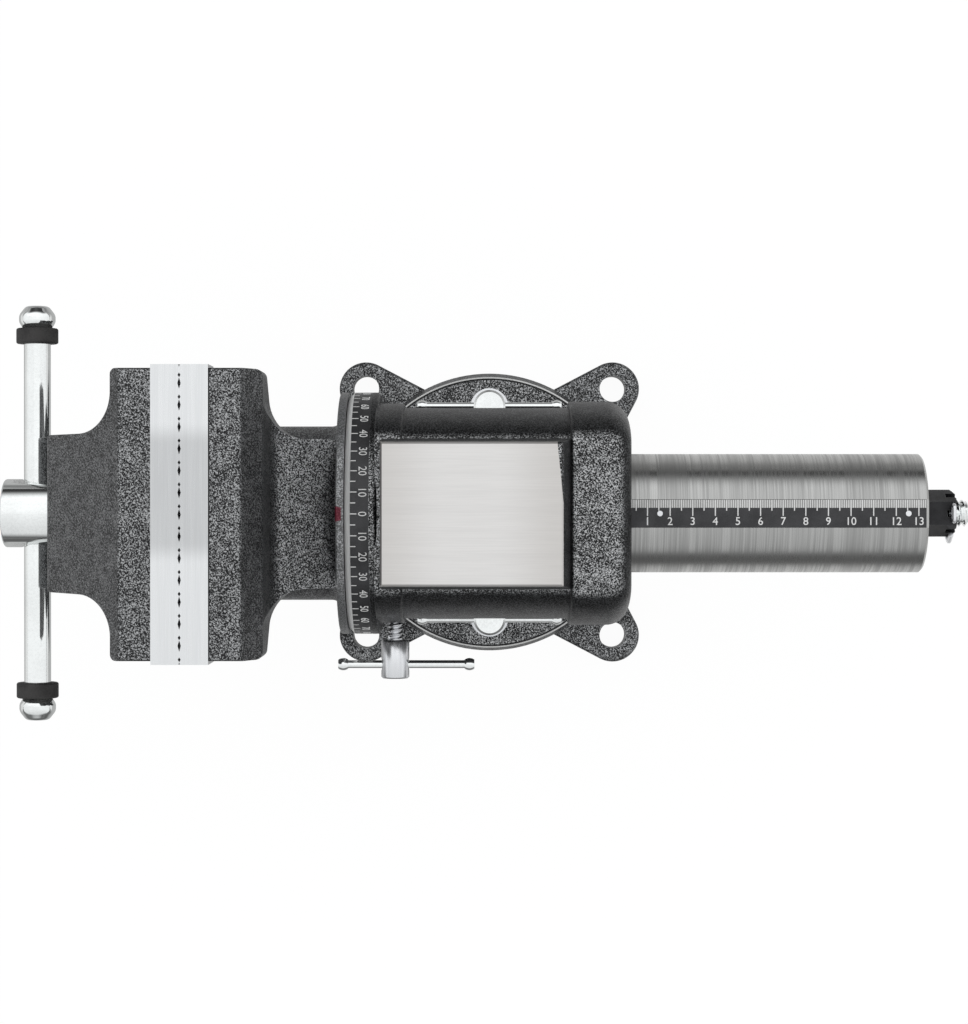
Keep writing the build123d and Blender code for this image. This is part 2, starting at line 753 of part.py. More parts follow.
def make_rear_jaw():
    """Rear jaw casting: jaw, neck, flange and the hub that turns in the body."""
    half = jaw_cast_w / 2
    low_z = axis_h - pipe_drop
    pipe_outer = pipe_seat_x(1) + pipe_wall
    plan = plan_points([
        (rear_inner_x, half, step_fillet),
        (rear_wing_x, half, cast_edge_r),
        (rear_wing_x, neck_half_w, rear_arc_r),
        (flange_front_x + 1, neck_half_w, 0),
    ])
    side = [
        (rear_inner_x, jaw_top_z, 0),
        (rear_seat_x + jaw_land, jaw_top_z, cast_edge_r),
        (rear_wing_x, jaw_top_z - rear_brow_drop, cast_corner_r),
        (rear_wing_x + rear_brow_run, axis_h + neck_rise_front, brow_r),
        (flange_front_x + 1, axis_h + neck_rise_back, 0),
        (flange_front_x + 1, axis_h - neck_r, 0),
        (pipe_outer + pipe_wall_lean, axis_h - neck_r, cast_corner_r),
        (pipe_outer, low_z + pipe_lip + pipe_h - pipe_wall_lean, cast_corner_r),
        (pipe_outer, low_z, cast_corner_r),
        (rear_inner_x, low_z, cast_edge_r),
    ]
    jaw = cast_jaw(plan, side)
    jaw += turned(
        (0, 0, axis_h), (1, 0, 0),
        [(rear_inner_x, 0, 0), (rear_inner_x, neck_r, cast_edge_r), (flange_front_x, neck_r, neck_fillet),
         (flange_front_x, flange_r, flange_fillet), (flange_back_x, flange_r, 0), (flange_back_x, hub_r, 0),
         (hub_end_x, hub_r, 0), (hub_end_x, 0, 0)],
    )
    jaw -= plate_pocket(rear_seat_x, rear_inner_x)
    jaw -= pipe_pocket(1)
    jaw -= axial(rear_inner_x - 1, hub_end_x + 1, bar_guide_r)
    half_leg = leg_half_w() + snug
    jaw -= block(nut_front_x - snug, nut_back_x + snug, -half_leg, half_leg,
                 axis_h - nut_leg_reach - snug, axis_h)
    jaw -= flat_screw_hole(nut_screw_seat(), (0, 0, 1), nut_screw_r, nut_screw_l)
    for seat in retainer_screw_seats():
        jaw -= flat_screw_hole(seat, (-1, 0, 0), retainer_screw_r, retainer_t + retainer_screw_l)
    return cut_screw_holes(jaw, 1)


def make_jaw_plate(side):
    """Ground jaw plate with a diamond cut face, side -1 at the front jaw and +1 at the rear."""
    back = meet_x + side * plate_t
    low, high = sorted((meet_x, back))
    foot = jaw_top_z - plate_h
    plate = block(low, high, -plate_w / 2, plate_w / 2, foot, jaw_top_z)
    groove_w = cut_half_w
    tool = make_face(Polyline((-groove_w, 0), (groove_w, 0), (0, -cut_depth), close=True))
    run = plate_h * 1.6
    count = int(plate_w / cut_pitch / 2) + 3
    for lean in (-45, 45):
        for k in range(-count, count + 1):
            start = k * cut_pitch
            frame = Plane(origin=(meet_x, start, jaw_top_z), x_dir=(0, 1, 0), z_dir=(0, 0, 1))
            cutter = extrude(tool, run, both=True)
            cutter = Rot(0, 0, 90 if side > 0 else -90) * cutter
            plate -= Pos(meet_x, start, jaw_top_z) * Rot(lean, 0, 0) * cutter
    for seat in plate_screw_seats(side):
        plate -= flat_screw_hole(seat, (side, 0, 0), plate_screw_r, plate_t + plate_screw_l)
    return plate


def make_plate_screws(side):
    """The two screws of a jaw plate."""
    length = plate_t + plate_screw_l
    return [flat_screw(seat, (side, 0, 0), plate_screw_r, length) for seat in plate_screw_seats(side)]


def make_pipe_jaw(side):
    """Pipe jaw: a block with a toothed V that opens to the other jaw."""
    z = pipe_z()
    back = pipe_seat_x(side)
    face = meet_x + side * pipe_stand_off
    root = face + side * pipe_vee_depth
    flank = [(face, -pipe_vee_half)]
    for k in range(pipe_teeth):
        near = (k + 0.5) / pipe_teeth
        far = (k + 1) / pipe_teeth
        flank.append((face + (root - face) * near + side * pipe_tooth_depth, -pipe_vee_half * (1 - near)))
        flank.append((face + (root - face) * far, -pipe_vee_half * (1 - far)))
    upper = [(x, -up) for x, up in reversed(flank[:-1])]
    half_h = pipe_h / 2
    points = [(back, -half_h), (face, -half_h)] + flank + upper + [(face, half_h), (back, half_h)]
    section = make_face(Polyline(*points, close=True))
    jaw = Plane(origin=(0, 0, z), x_dir=(1, 0, 0), z_dir=(0, -1, 0)) * extrude(section, pipe_w / 2, both=True)
    for seat in pipe_screw_seats(side):
        length = pipe_wall - screw_sink + pipe_screw_bite
        jaw -= flat_screw_hole(seat, (-side, 0, 0), pipe_screw_r, length)
    return jaw


def make_pipe_screws(side):
    """The two screws that hold a pipe jaw from outside the casting."""
    length = pipe_wall - screw_sink + pipe_screw_bite
    return [flat_screw(seat, (-side, 0, 0), pipe_screw_r, length) for seat in pipe_screw_seats(side)]


# Pieces in and on the hub

def leg_half_w():
    """Half width of the spindle nut's leg in the bar's slot."""
    return bar_slot_w / 2 - gap


def nut_screw_seat():
    """Head position of the screw in the spindle nut's leg."""
    return ((nut_front_x + nut_back_x) / 2, 0, axis_h - hub_r + screw_sink)


def retainer_screw_seats():
    """Head positions of the retaining ring's screws."""
    seats = []
    for k in range(retainer_screw_count):
        angle = math.radians(45 + k * 360 / retainer_screw_count)
        y = retainer_screw_circle * math.cos(angle)
        z = axis_h + retainer_screw_circle * math.sin(angle)
        seats.append((hub_end_x + retainer_t - screw_sink / 2, y, z))
    return seats


def make_spindle_nut():
    """Nut inside the bar, with a leg through the bar's slot into the hub."""
    nut = axial(nut_front_x, nut_back_x, bar_bore_r - gap)
    half = leg_half_w()
    leg = block(nut_front_x, nut_back_x, -half, half, axis_h - nut_leg_reach, axis_h - spindle_r)
    nut = nut + leg - axial(nut_front_x - 1, nut_back_x + 1, spindle_r + thread_gap)
    return nut - flat_screw_hole(nut_screw_seat(), (0, 0, 1), nut_screw_r, nut_screw_l)


def make_spindle_nut_screw():
    """Screw that holds the spindle nut's leg in the hub."""
    return flat_screw(nut_screw_seat(), (0, 0, 1), nut_screw_r, nut_screw_l)


def make_retaining_ring():
    """Ring on the hub's rear end that keeps the head in the body."""
    ring = axial(hub_end_x, hub_end_x + retainer_t, retainer_r)
    ring = chamfer(ring.edges().group_by(Axis.X)[-1], retainer_chamfer)
    ring -= axial(hub_end_x - 1, hub_end_x + retainer_t + 1, bar_guide_r)
    for seat in retainer_screw_seats():
        ring -= flat_screw_hole(seat, (-1, 0, 0), retainer_screw_r, retainer_t + retainer_screw_l)
    return ring


def make_retaining_screws():
    """Screws of the retaining ring."""
    length = retainer_t + retainer_screw_l - 1
    return [flat_screw(seat, (-1, 0, 0), retainer_screw_r, length) for seat in retainer_screw_seats()]


# Slide bar

def bar_pin_lines():
    """Start and end points of the two pins that hold the bar in the nose."""
    x = bar_front_x + bar_pin_setback
    lines = []
    for side in (-1, 1):
        lines.append(((x, side * (bar_bore_r + gap), axis_h), (x, side * (nose_r - gap), axis_h)))
    return lines


def bush_pin_lines():
    """Start and end points of the two pins that hold the end bush in the bar."""
    x = bar_back_x - bush_l / 2
    lines = []
    for side in (-1, 1):
        end = side * (bar_r - gap)
        lines.append(((x, end - side * bush_pin_l, axis_h), (x, end, axis_h)))
    return lines


def ruler_span():
    """First and last X of the ruler strip."""
    back = bar_back_x - ruler_end_gap
    return back - ruler_l, back


def rivet_points():
    """X of the two ruler rivets."""
    first = ruler_span()[0] + rivet_first
    return [first, first + rivet_step]


def make_slide_bar():
    """Bored bar with a slot below for the spindle nut and a groove above for the ruler."""
    bar = axial(bar_front_x, bar_back_x, bar_r)
    bar = chamfer(bar.edges().group_by(Axis.X)[-1], bar_chamfer)
    bar -= axial(bar_front_x - 1, bar_back_x + 1, bar_bore_r)
    bar -= block(nut_front_x - bar_slot_lead, bar_back_x + 1, -bar_slot_w / 2, bar_slot_w / 2,
                 axis_h - bar_r - 1, axis_h - spindle_r)
    groove_start = ruler_span()[0] - snug
    half = ruler_w / 2 + snug
    floor_z = axis_h + bar_r - ruler_sink - ruler_t
    bar -= block(groove_start, bar_back_x + 1, -half, half, floor_z, axis_h + bar_r + 1)
    for x in rivet_points():
        bar -= rod((x, 0, floor_z - rivet_depth - snug), (x, 0, floor_z + 1), rivet_r + snug)
    for pin in bar_pin_lines():
        bar -= rod(*pin, bar_pin_r + snug)
    for pin in bush_pin_lines():
        bar -= rod(*pin, bush_pin_r + snug)
    return bar


def make_bar_pins():
    """Pins that hold the bar in the front jaw."""
    return [rod(*pin, bar_pin_r) for pin in bar_pin_lines()]


def make_bar_end_bush():
    """Bush that steadies the spindle's tail in the bar's rear end."""
    bush = axial(bar_back_x - bush_l, bar_back_x, bar_bore_r - snug)
    bush -= axial(bar_back_x - bush_l - 1, bar_back_x + 1, tail_r + gap)
    for pin in bush_pin_lines():
        bush -= rod(*pin, bush_pin_r + snug)
    return bush


def make_bush_pins():
    """Pins that hold the end bush."""
    return [rod(*pin, bush_pin_r) for pin in bush_pin_lines()]


def make_ruler():
    """Graduated strip in the groove on top of the bar."""
    start, end = ruler_span()
    top_z = axis_h + bar_r - ruler_sink
    ruler = block(start, end, -ruler_w / 2, ruler_w / 2, top_z - ruler_t, top_z)
    for x in rivet_points():
        ruler -= rod((x, 0, top_z - 2), (x, 0, top_z + 1), rivet_r + snug)
    return ruler


def make_ruler_rivets():
    """Round-headed rivets of the ruler."""
    top_z = axis_h + bar_r - ruler_sink
    rivets = []
    for x in rivet_points():
        rivet = rod((x, 0, top_z - ruler_t - rivet_depth), (x, 0, top_z + rivet_proud), rivet_r)
        rivets.append(fillet(rivet.edges().group_by(Axis.Z)[-1], rivet_proud))
    return rivets


# Spindle and handle

def make_spindle():
    """Spindle with its cross-bored head and a thin threaded tail."""
    tail_x = bar_back_x - tail_front
    end_x = bar_back_x + tail_proud
    spindle = turned(
        (0, 0, axis_h), (1, 0, 0),
        [(head_front_x, 0, 0), (head_front_x + spindle_dome / 2, spindle_head_r * 0.7, 8),
         (head_front_x + spindle_dome, spindle_head_r, 1), (head_back_x, spindle_head_r, 0.6),
         (head_back_x, spindle_r, 0), (tail_x - spindle_r + tail_r, spindle_r, 0), (tail_x, tail_r, 0),
         (end_x - 1, tail_r, 0), (end_x, tail_r - 1, 0), (end_x, 0, 0)],
    )
    spindle -= cross_hole((handle_x, 0, axis_h), (0, 1, 0), handle_r + handle_gap, spindle_head_r)
    pin_x = split_pin_x()
    return spindle - rod((pin_x, 0, axis_h - tail_r - 1), (pin_x, 0, axis_h + tail_r + 1), split_wire_r + snug)


def make_thrust_washer():
    """Washer in the nose, under the spindle's head."""
    front = head_back_x
    back = front + thrust_washer_t
    return axial(front, back, spindle_head_r) - axial(front - 1, back + 1, spindle_r + gap)


def tail_nut_x():
    """Station of the castle nut's front face."""
    return bar_back_x + tail_washer_t


def split_pin_x():
    """Station of the split pin, in the middle of the castle nut's slots."""
    return tail_nut_x() + castle_h - castle_slot_depth / 2


def make_tail_washer():
    """Washer between the castle nut and the bar's end."""
    washer = axial(bar_back_x, bar_back_x + tail_washer_t, tail_washer_r)
    return washer - axial(bar_back_x - 1, bar_back_x + tail_washer_t + 1, tail_r + snug)


def make_castle_nut():
    """Hexagon castle nut with six slots, a flat on top."""
    start = tail_nut_x()
    end = start + castle_h
    nut = hex_prism((start, 0, axis_h), (1, 0, 0), castle_af, castle_h, turn=30)
    corner_r = castle_af / math.sqrt(3)
    round_off = turned(
        (0, 0, axis_h), (1, 0, 0),
        [(start - 1, 0, 0), (start - 1, corner_r, 0), (end - castle_crown, corner_r, 0),
         (end, castle_af / 2 - gap, 0), (end, 0, 0)],
    )
    nut &= round_off
    for k in range(3):
        slot = block(end - castle_slot_depth, end + 1, -castle_slot_w / 2, castle_slot_w / 2,
                     -castle_af, castle_af)
        nut -= Pos(0, 0, axis_h) * Rot(60 * k, 0, 0) * slot
    return nut - axial(start - 1, end + 1, tail_r + snug)


def make_split_pin():
    """Split pin through the tail, its eye on top and its leg bent round the nut."""
    x = split_pin_x()
    out = castle_af / 2 + split_wire_r + split_stand_off
    side_out = out / math.cos(math.radians(30))
    route = FilletPolyline(
        (0, out), (0, -out), (-side_out / 2, -out), (-side_out, 0), (-out * math.cos(math.radians(30)), out / 2),
        radius=split_wire_r * 1.2,
    )
    frame = Plane(origin=(x, 0, axis_h), x_dir=(0, 1, 0), z_dir=(1, 0, 0))
    leg = sweep(Plane(origin=route @ 0, z_dir=route % 0) * Circle(split_wire_r), path=route)
    eye_w = split_eye_l - 2 * split_eye_r
    eye_h = split_eye_h - 2 * split_eye_r
    eye = (Pos(0, out + eye_h / 2) * RectangleRounded(eye_w, eye_h, eye_h * 0.45)).wire()
    loop = sweep(Plane(origin=eye @ 0, z_dir=eye % 0) * Circle(split_eye_r), path=eye)
    return frame * (leg + loop)


def make_handle_rod():
    """Sliding rod of the handle."""
    half = handle_l / 2 - knob_l + knob_bite
    return rod((handle_x, -half, axis_h), (handle_x, half, axis_h), handle_r)


def make_handle_knobs():
    """Flattened balls pressed on the rod's ends."""
    inner = handle_l / 2 - knob_l
    knobs = []
    for side in (-1, 1):
        knob = turned(
            (handle_x, side * inner, axis_h), (0, side, 0),
            [(0, 0, 0), (0, knob_r * 0.8, 1), (knob_l * 0.28, knob_r, 3), (knob_l * 0.6, knob_r, 4),
             (knob_l, knob_r * 0.62, 3), (knob_l, 0, 0)],
        )
        start = (handle_x, side * (inner - 1), axis_h)
        end = (handle_x, side * (inner + knob_bite + snug), axis_h)
        knobs.append(knob - rod(start, end, handle_r + snug))
    return knobs


def make_handle_rubbers():
    """Rubber rings that soften the handle's stops."""
    outer = handle_l / 2 - knob_l
    rings = []
    for side in (-1, 1):
        start = (handle_x, side * (outer - rubber_l), axis_h)
        end = (handle_x, side * outer, axis_h)
        ring = rod(start, end, rubber_r)
        ring = fillet(ring.edges().filter_by(GeomType.CIRCLE), 0.9)
        rings.append(ring - rod(start, end, handle_r + snug / 5))
    return rings


def save(name, shape):
    """Write one node, a solid or a group of solids, to its file."""
    solids = shape if isinstance(shape, list) else [shape]
    parts = [solid for item in solids for solid in item.solids()]
    node = parts[0] if len(parts) == 1 else Compound(children=parts)
    node.label = name
    export_step(node, os.path.join("parts", name + ".step"))


def main():
    """Build every node and write it."""
    os.makedirs("parts", exist_ok=True)
    save("swivel_base", make_swivel_base())
    save("pivot_bolt", make_pivot_bolt())
    save("pivot_washer", make_pivot_washer())
    save("body_casting", make_body_casting())
    save("angle_dial", make_angle_dial())
    save("brake_shoe", make_brake_shoe())
    save("swivel_bolts", make_swivel_bolts())
    save("swivel_washers", make_swivel_washers())
    for side in lock_positions():
        save("swivel_nut_" + side, make_swivel_nut(side))
        save("swivel_bar_" + side, make_bar(lock_bar_centre(side), lock_bar_l))
        save("swivel_bar_balls_" + side, make_bar_balls(lock_bar_centre(side), lock_bar_l))
    save("head_lock_bolt", make_head_lock_bolt())
    save("head_lock_bar", make_bar(head_lock_bar_centre(), head_lock_bar_l))
    save("head_lock_bar_balls", make_bar_balls(head_lock_bar_centre(), head_lock_bar_l))
    save("front_jaw", make_front_jaw())
    save("rear_jaw", make_rear_jaw())
    for place, side in (("front", -1), ("rear", 1)):
        save(place + "_jaw_plate", make_jaw_plate(side))
        save(place + "_plate_screws", make_plate_screws(side))
        save(place + "_pipe_jaw", make_pipe_jaw(side))
        save(place + "_pipe_screws", make_pipe_screws(side))
    save("spindle_nut", make_spindle_nut())
    save("spindle_nut_screw", make_spindle_nut_screw())
    save("retaining_ring", make_retaining_ring())
    save("retaining_screws", make_retaining_screws())
    save("slide_bar", make_slide_bar())
    save("bar_pins", make_bar_pins())
    save("bar_end_bush", make_bar_end_bush())
    save("bush_pins", make_bush_pins())
    save("ruler", make_ruler())
    save("ruler_rivets", make_ruler_rivets())
    save("spindle", make_spindle())
    save("thrust_washer", make_thrust_washer())
    save("tail_washer", make_tail_washer())
    save("castle_nut", make_castle_nut())
    save("split_pin", make_split_pin())
    save("handle_rod", make_handle_rod())
    save("handle_knobs", make_handle_knobs())
    save("handle_rubbers", make_handle_rubbers())


main()
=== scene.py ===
"""Looks of the swivelling bench vise, in metres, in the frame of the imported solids.

Names of sizes end in _l, _w, _h, _t and _r for length, width, height, thickness and radius, and a pair that
ends in _ends holds the two ends of a range.
"""
import json
import logging
import math
from dataclasses import dataclass
from enum import Enum

import bmesh
import bpy
from mathutils import Matrix, Vector


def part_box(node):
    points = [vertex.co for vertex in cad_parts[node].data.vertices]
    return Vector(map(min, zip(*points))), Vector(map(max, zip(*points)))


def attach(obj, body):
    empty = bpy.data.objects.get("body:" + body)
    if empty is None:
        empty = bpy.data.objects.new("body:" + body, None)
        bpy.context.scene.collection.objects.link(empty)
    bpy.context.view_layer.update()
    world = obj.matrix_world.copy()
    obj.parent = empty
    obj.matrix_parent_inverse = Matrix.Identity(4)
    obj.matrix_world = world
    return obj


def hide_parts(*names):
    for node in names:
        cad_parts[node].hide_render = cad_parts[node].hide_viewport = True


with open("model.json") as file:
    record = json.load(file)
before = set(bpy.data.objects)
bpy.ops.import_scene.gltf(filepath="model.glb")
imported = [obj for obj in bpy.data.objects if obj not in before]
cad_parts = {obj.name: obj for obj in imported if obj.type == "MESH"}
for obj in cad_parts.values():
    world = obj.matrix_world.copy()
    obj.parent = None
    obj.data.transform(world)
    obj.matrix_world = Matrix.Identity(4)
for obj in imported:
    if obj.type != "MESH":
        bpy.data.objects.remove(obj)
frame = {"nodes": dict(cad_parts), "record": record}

logging.basicConfig(level=logging.INFO, format="%(message)s")
LOG = logging.getLogger("vise")

Colour = tuple[float, float, float]
Range = tuple[float, float]
Socket = bpy.types.NodeSocket

MM = 0.001
MERGE = 1e-7  # corners nearer than this are one
FINE_DETAIL = 3.0  # octaves of fine noise
DIGIT_SHARE = 0.7  # height of a digit as a share of the font's size
DIGIT_STEPS = 4  # steps in the curves of a digit
WHITE: Colour = (1.0, 1.0, 1.0)
BLACK: Colour = (0.0, 0.0, 0.0)


class Along(Enum):
    """What a pattern of fine lines follows: an axis, or the rings that turning leaves round one."""

    X = "x"
    Y = "y"
    ROUND_X = "round x"
    ROUND_Y = "round y"
    ROUND_Z = "round z"


class ShaderGraph:
    """Adds nodes to one shader tree and links them."""

    def __init__(self, tree: bpy.types.NodeTree) -> None:
        """Works on a tree.

        Args:
            tree: Node tree of a material, a world or a node group.
        """
        self.tree = tree

    def node(self, kind: str, **settings: object) -> bpy.types.Node:
        """Adds a node.

        Args:
            kind: Blender's name of the node type.
            **settings: Properties to set on the node.

        Returns:
            The new node.
        """
        made = self.tree.nodes.new(kind)
        for name, value in settings.items():
            setattr(made, name, value)
        return made

    def put(self, target: Socket, value: object) -> None:
        """Links a socket to an input, or writes a plain value on it.

        Args:
            target: Input socket.
            value: Output socket, number, vector or colour.
        """
        if isinstance(value, bpy.types.NodeSocket):
            self.tree.links.new(value, target)
        elif target.type == "RGBA":
            target.default_value = (*value, 1.0)
        else:
            target.default_value = value

    def math(self, operation: str, first: object, second: object = 0.0, clamp: bool = False) -> Socket:
        """Adds a Math node.

        Args:
            operation: Name of the operation.
            first: First number or socket.
            second: Second number or socket.
            clamp: Keeps the result between 0 and 1.

        Returns:
            The result's socket.
        """
        node = self.node("ShaderNodeMath", operation=operation, use_clamp=clamp)
        self.put(node.inputs[0], first)
        self.put(node.inputs[1], second)
        return node.outputs[0]

    def times(self, first: object, second: object) -> Socket:
        """Returns the product of two numbers or sockets."""
        return self.math("MULTIPLY", first, second)

    def away(self, value: Socket, middle: float = 0.0) -> Socket:
        """Returns how far a number lies from a middle, on either side."""
        return self.math("ABSOLUTE", self.math("SUBTRACT", value, middle))

    def mix(self, factor: object, first: object, second: object) -> Socket:
        """Mixes two colours.

        Args:
            factor: Share of the second colour.
            first: First colour or socket.
            second: Second colour or socket.

        Returns:
            The mixed colour's socket.
        """
        node = self.node("ShaderNodeMix", data_type="RGBA")
        self.put(node.inputs[0], factor)
        self.put(node.inputs[6], first)
        self.put(node.inputs[7], second)
        return node.outputs[2]

    def blend(self, factor: object, first: object, second: object) -> Socket:
        """Mixes two numbers.

        Args:
            factor: Share of the second number.
            first: First number or socket.
            second: Second number or socket.

        Returns:
            The mixed number's socket.
        """
        node = self.node("ShaderNodeMix", data_type="FLOAT")
        self.put(node.inputs[0], factor)
        self.put(node.inputs[2], first)
        self.put(node.inputs[3], second)
        return node.outputs[0]

    def spread(
        self, value: object, low: float, high: float, to_low: float = 0.0, to_high: float = 1.0
    ) -> Socket:
        """Maps one range of numbers smoothly on another, clamped at its ends.

        Args:
            value: Number or socket.
            low: Lowest input.
            high: Highest input.
            to_low: Output at the lowest input.
            to_high: Output at the highest input.

        Returns:
            The mapped number's socket.
        """
        node = self.node("ShaderNodeMapRange", interpolation_type="SMOOTHSTEP")
        settings = {"Value": value, "From Min": low, "From Max": high, "To Min": to_low, "To Max": to_high}
        for label, setting in settings.items():
            self.put(node.inputs[label], setting)
        return node.outputs[0]

    def noise(self, vector: Socket, scale: object, detail: float = 2.0, twist: float = 0.0) -> Socket:
        """Adds a noise texture.

        Args:
            vector: Where the pattern is read.
            scale: Number of features in a metre.
            detail: Octaves of finer noise.
            twist: Distortion of the pattern.

        Returns:
            The noise value's socket.
        """
        node = self.node("ShaderNodeTexNoise")
        self.put(node.inputs["Vector"], vector)
        self.put(node.inputs["Scale"], scale)
        node.inputs["Detail"].default_value = detail
        node.inputs["Distortion"].default_value = twist
        return node.outputs["Fac"]

    def place(self) -> Socket:
        """Returns the socket of the Object coordinates."""
        return self.node("ShaderNodeTexCoord").outputs["Object"]

    def rise(self) -> Socket:
        """Returns how far the surface faces up in the object's own frame."""
        return self.parts(self.node("ShaderNodeTexCoord").outputs["Normal"])[2]

    def parts(self, vector: Socket) -> tuple[Socket, Socket, Socket]:
        """Splits a vector.

        Args:
            vector: Vector socket.

        Returns:
            Sockets of its X, Y and Z.
        """
        node = self.node("ShaderNodeSeparateXYZ")
        self.put(node.inputs[0], vector)
        return node.outputs[0], node.outputs[1], node.outputs[2]

    def inside(self, value: Socket, low: float, high: float) -> Socket:
        """Gives 1 where a number lies between two others, else 0.

        Args:
            value: Number's socket.
            low: Lower end.
            high: Upper end.

        Returns:
            The mask's socket.
        """
        above = self.math("GREATER_THAN", value, low)
        below = self.math("LESS_THAN", value, high)
        return self.times(above, below)

    def group(self, tree: bpy.types.NodeTree, **values: object) -> bpy.types.Node:
        """Places a node group.

        Args:
            tree: The group's tree.
            **values: Its inputs, with underscores for spaces.

        Returns:
            The group's node.
        """
        node = self.node("ShaderNodeGroup")
        node.node_tree = tree
        for name, value in values.items():
            self.put(node.inputs[name.replace("_", " ")], value)
        return node


def start_group(
    name: str, inputs: dict[str, str], outputs: list[str]
) -> tuple[ShaderGraph, bpy.types.Node, bpy.types.Node]:
    """Makes an empty node group with its sockets.

    Args:
        name: The group's name.
        inputs: Socket types by input name.
        outputs: Names of the number outputs.

    Returns:
        The graph, its input node and its output node.
    """
    tree = bpy.data.node_groups.new(name, "ShaderNodeTree")
    for label, kind in inputs.items():
        tree.interface.new_socket(label, in_out="INPUT", socket_type=kind)
    for label in outputs:
        tree.interface.new_socket(label, in_out="OUTPUT", socket_type="NodeSocketFloat")
    graph = ShaderGraph(tree)
    return graph, graph.node("NodeGroupInput"), graph.node("NodeGroupOutput")


@dataclass(frozen=True)
class Hammertone:
    """The worm-like silver flecks of hammertone enamel."""

    turn: tuple[float, float, float] = (0.65, 0.4, 0.9)
    twist: float = 0.7
    patch_scale: float = 0.08
    patch_ends: Range = (0.3, 0.7)
    patch_shift: float = 0.03
    fleck_ends: Range = (0.445, 0.655)
    height_ends: Range = (0.38, 0.64)

    def build(self) -> bpy.types.NodeTree:
        """Builds the group.

        Returns:
            The group's tree.
        """
        graph, source, result = start_group(
            "hammertone", {"Vector": "NodeSocketVector", "Scale": "NodeSocketFloat"}, ["Flecks", "Height"]
        )
        scale = source.outputs["Scale"]
        turned = graph.node("ShaderNodeMapping")
        graph.put(turned.inputs["Vector"], source.outputs["Vector"])
        turned.inputs["Rotation"].default_value = self.turn
        vector = turned.outputs["Vector"]
        worms = graph.noise(vector, scale, detail=1.0, twist=self.twist)
        patches = graph.noise(vector, graph.times(scale, self.patch_scale))
        shift = graph.spread(patches, *self.patch_ends, -self.patch_shift, self.patch_shift)
        shifted = graph.math("ADD", worms, shift)
        graph.put(result.inputs["Flecks"], graph.spread(shifted, *self.fleck_ends))
        graph.put(result.inputs["Height"], graph.spread(shifted, *self.height_ends))
        return graph.tree


@dataclass(frozen=True)
class FinePattern:
    """A fine pattern with broad changes: cutting lines on stretched coordinates, or an even grain."""

    name: str
    fine_share: float
    broad_scale: float
    broad_detail: float
    tone_ends: Range

    def build(self) -> bpy.types.NodeTree:
        """Builds the group.

        Returns:
            The group's tree.
        """
        graph, source, result = start_group(
            self.name, {"Vector": "NodeSocketVector", "Scale": "NodeSocketFloat"}, ["Tone", "Height"]
        )
        vector, scale = source.outputs["Vector"], source.outputs["Scale"]
        fine = graph.noise(vector, scale, detail=FINE_DETAIL)
        broad = graph.noise(vector, graph.times(scale, self.broad_scale), detail=self.broad_detail)
        tone = graph.blend(self.fine_share, broad, fine)
        graph.put(result.inputs["Tone"], graph.spread(tone, *self.tone_ends))
        graph.put(result.inputs["Height"], fine)
        return graph.tree


@dataclass(frozen=True)
class RubbedEdges:
    """A mask of the sharp edges, where a finish gets a painted highlight.

    An edge is where the rounded normal turns from the flat one; turn_ends are the cosines of that turn.
    """

    samples: int = 4
    turn_ends: Range = (0.86, 0.99)
    patches_per_metre: float = 420.0
    patch_ends: Range = (0.35, 0.6)
    least: float = 0.25

    def build(self) -> bpy.types.NodeTree:
        """Builds the group.

        Returns:
            The group's tree.
        """
        graph, source, result = start_group(
            "painted_edge_highlights", {"Vector": "NodeSocketVector", "Reach": "NodeSocketFloat"}, ["Mask"]
        )
        rounded = graph.node("ShaderNodeBevel", samples=self.samples)
        graph.put(rounded.inputs["Radius"], source.outputs["Reach"])
        flat = graph.node("ShaderNodeNewGeometry")
        turn = graph.node("ShaderNodeVectorMath", operation="DOT_PRODUCT")
        graph.put(turn.inputs[0], rounded.outputs["Normal"])
        graph.put(turn.inputs[1], flat.outputs["Normal"])
        edge = graph.spread(turn.outputs["Value"], *self.turn_ends, 1.0, 0.0)
        patches = graph.noise(source.outputs["Vector"], self.patches_per_metre, detail=FINE_DETAIL)
        patchy = graph.spread(patches, *self.patch_ends, self.least, 1.0)
        graph.put(result.inputs["Mask"], graph.times(edge, patchy))
        return graph.tree


class Effects:
    """The node groups that several finishes share, each built once."""

    def __init__(self) -> None:
        """Builds the groups."""
        self.hammertone = Hammertone().build()
        self.lines = FinePattern(
            "cutting_lines", fine_share=0.6, broad_scale=0.17, broad_detail=2.0, tone_ends=(0.34, 0.66)
        ).build()
        self.grain = FinePattern(
            "fine_grain", fine_share=0.45, broad_scale=0.05, broad_detail=3.0, tone_ends=(0.35, 0.65)
        ).build()
        self.edges = RubbedEdges().build()

    def rub(self, graph: ShaderGraph, tone: Socket, reach: float, amount: float, bright: Colour) -> Socket:
        """Paints a highlight along a finish's sharp edges.

        Args:
            graph: The finish's graph.
            tone: The finish's colour.
            reach: How far from an edge the painted highlight reaches.
            amount: Share of the bright colour right at the edge.
            bright: The painted highlight's colour.

        Returns:
            The colour's socket, with the painted highlight.
        """
        highlight = graph.group(self.edges, Vector=graph.place(), Reach=reach)
        return graph.mix(graph.times(highlight.outputs["Mask"], amount), tone, bright)


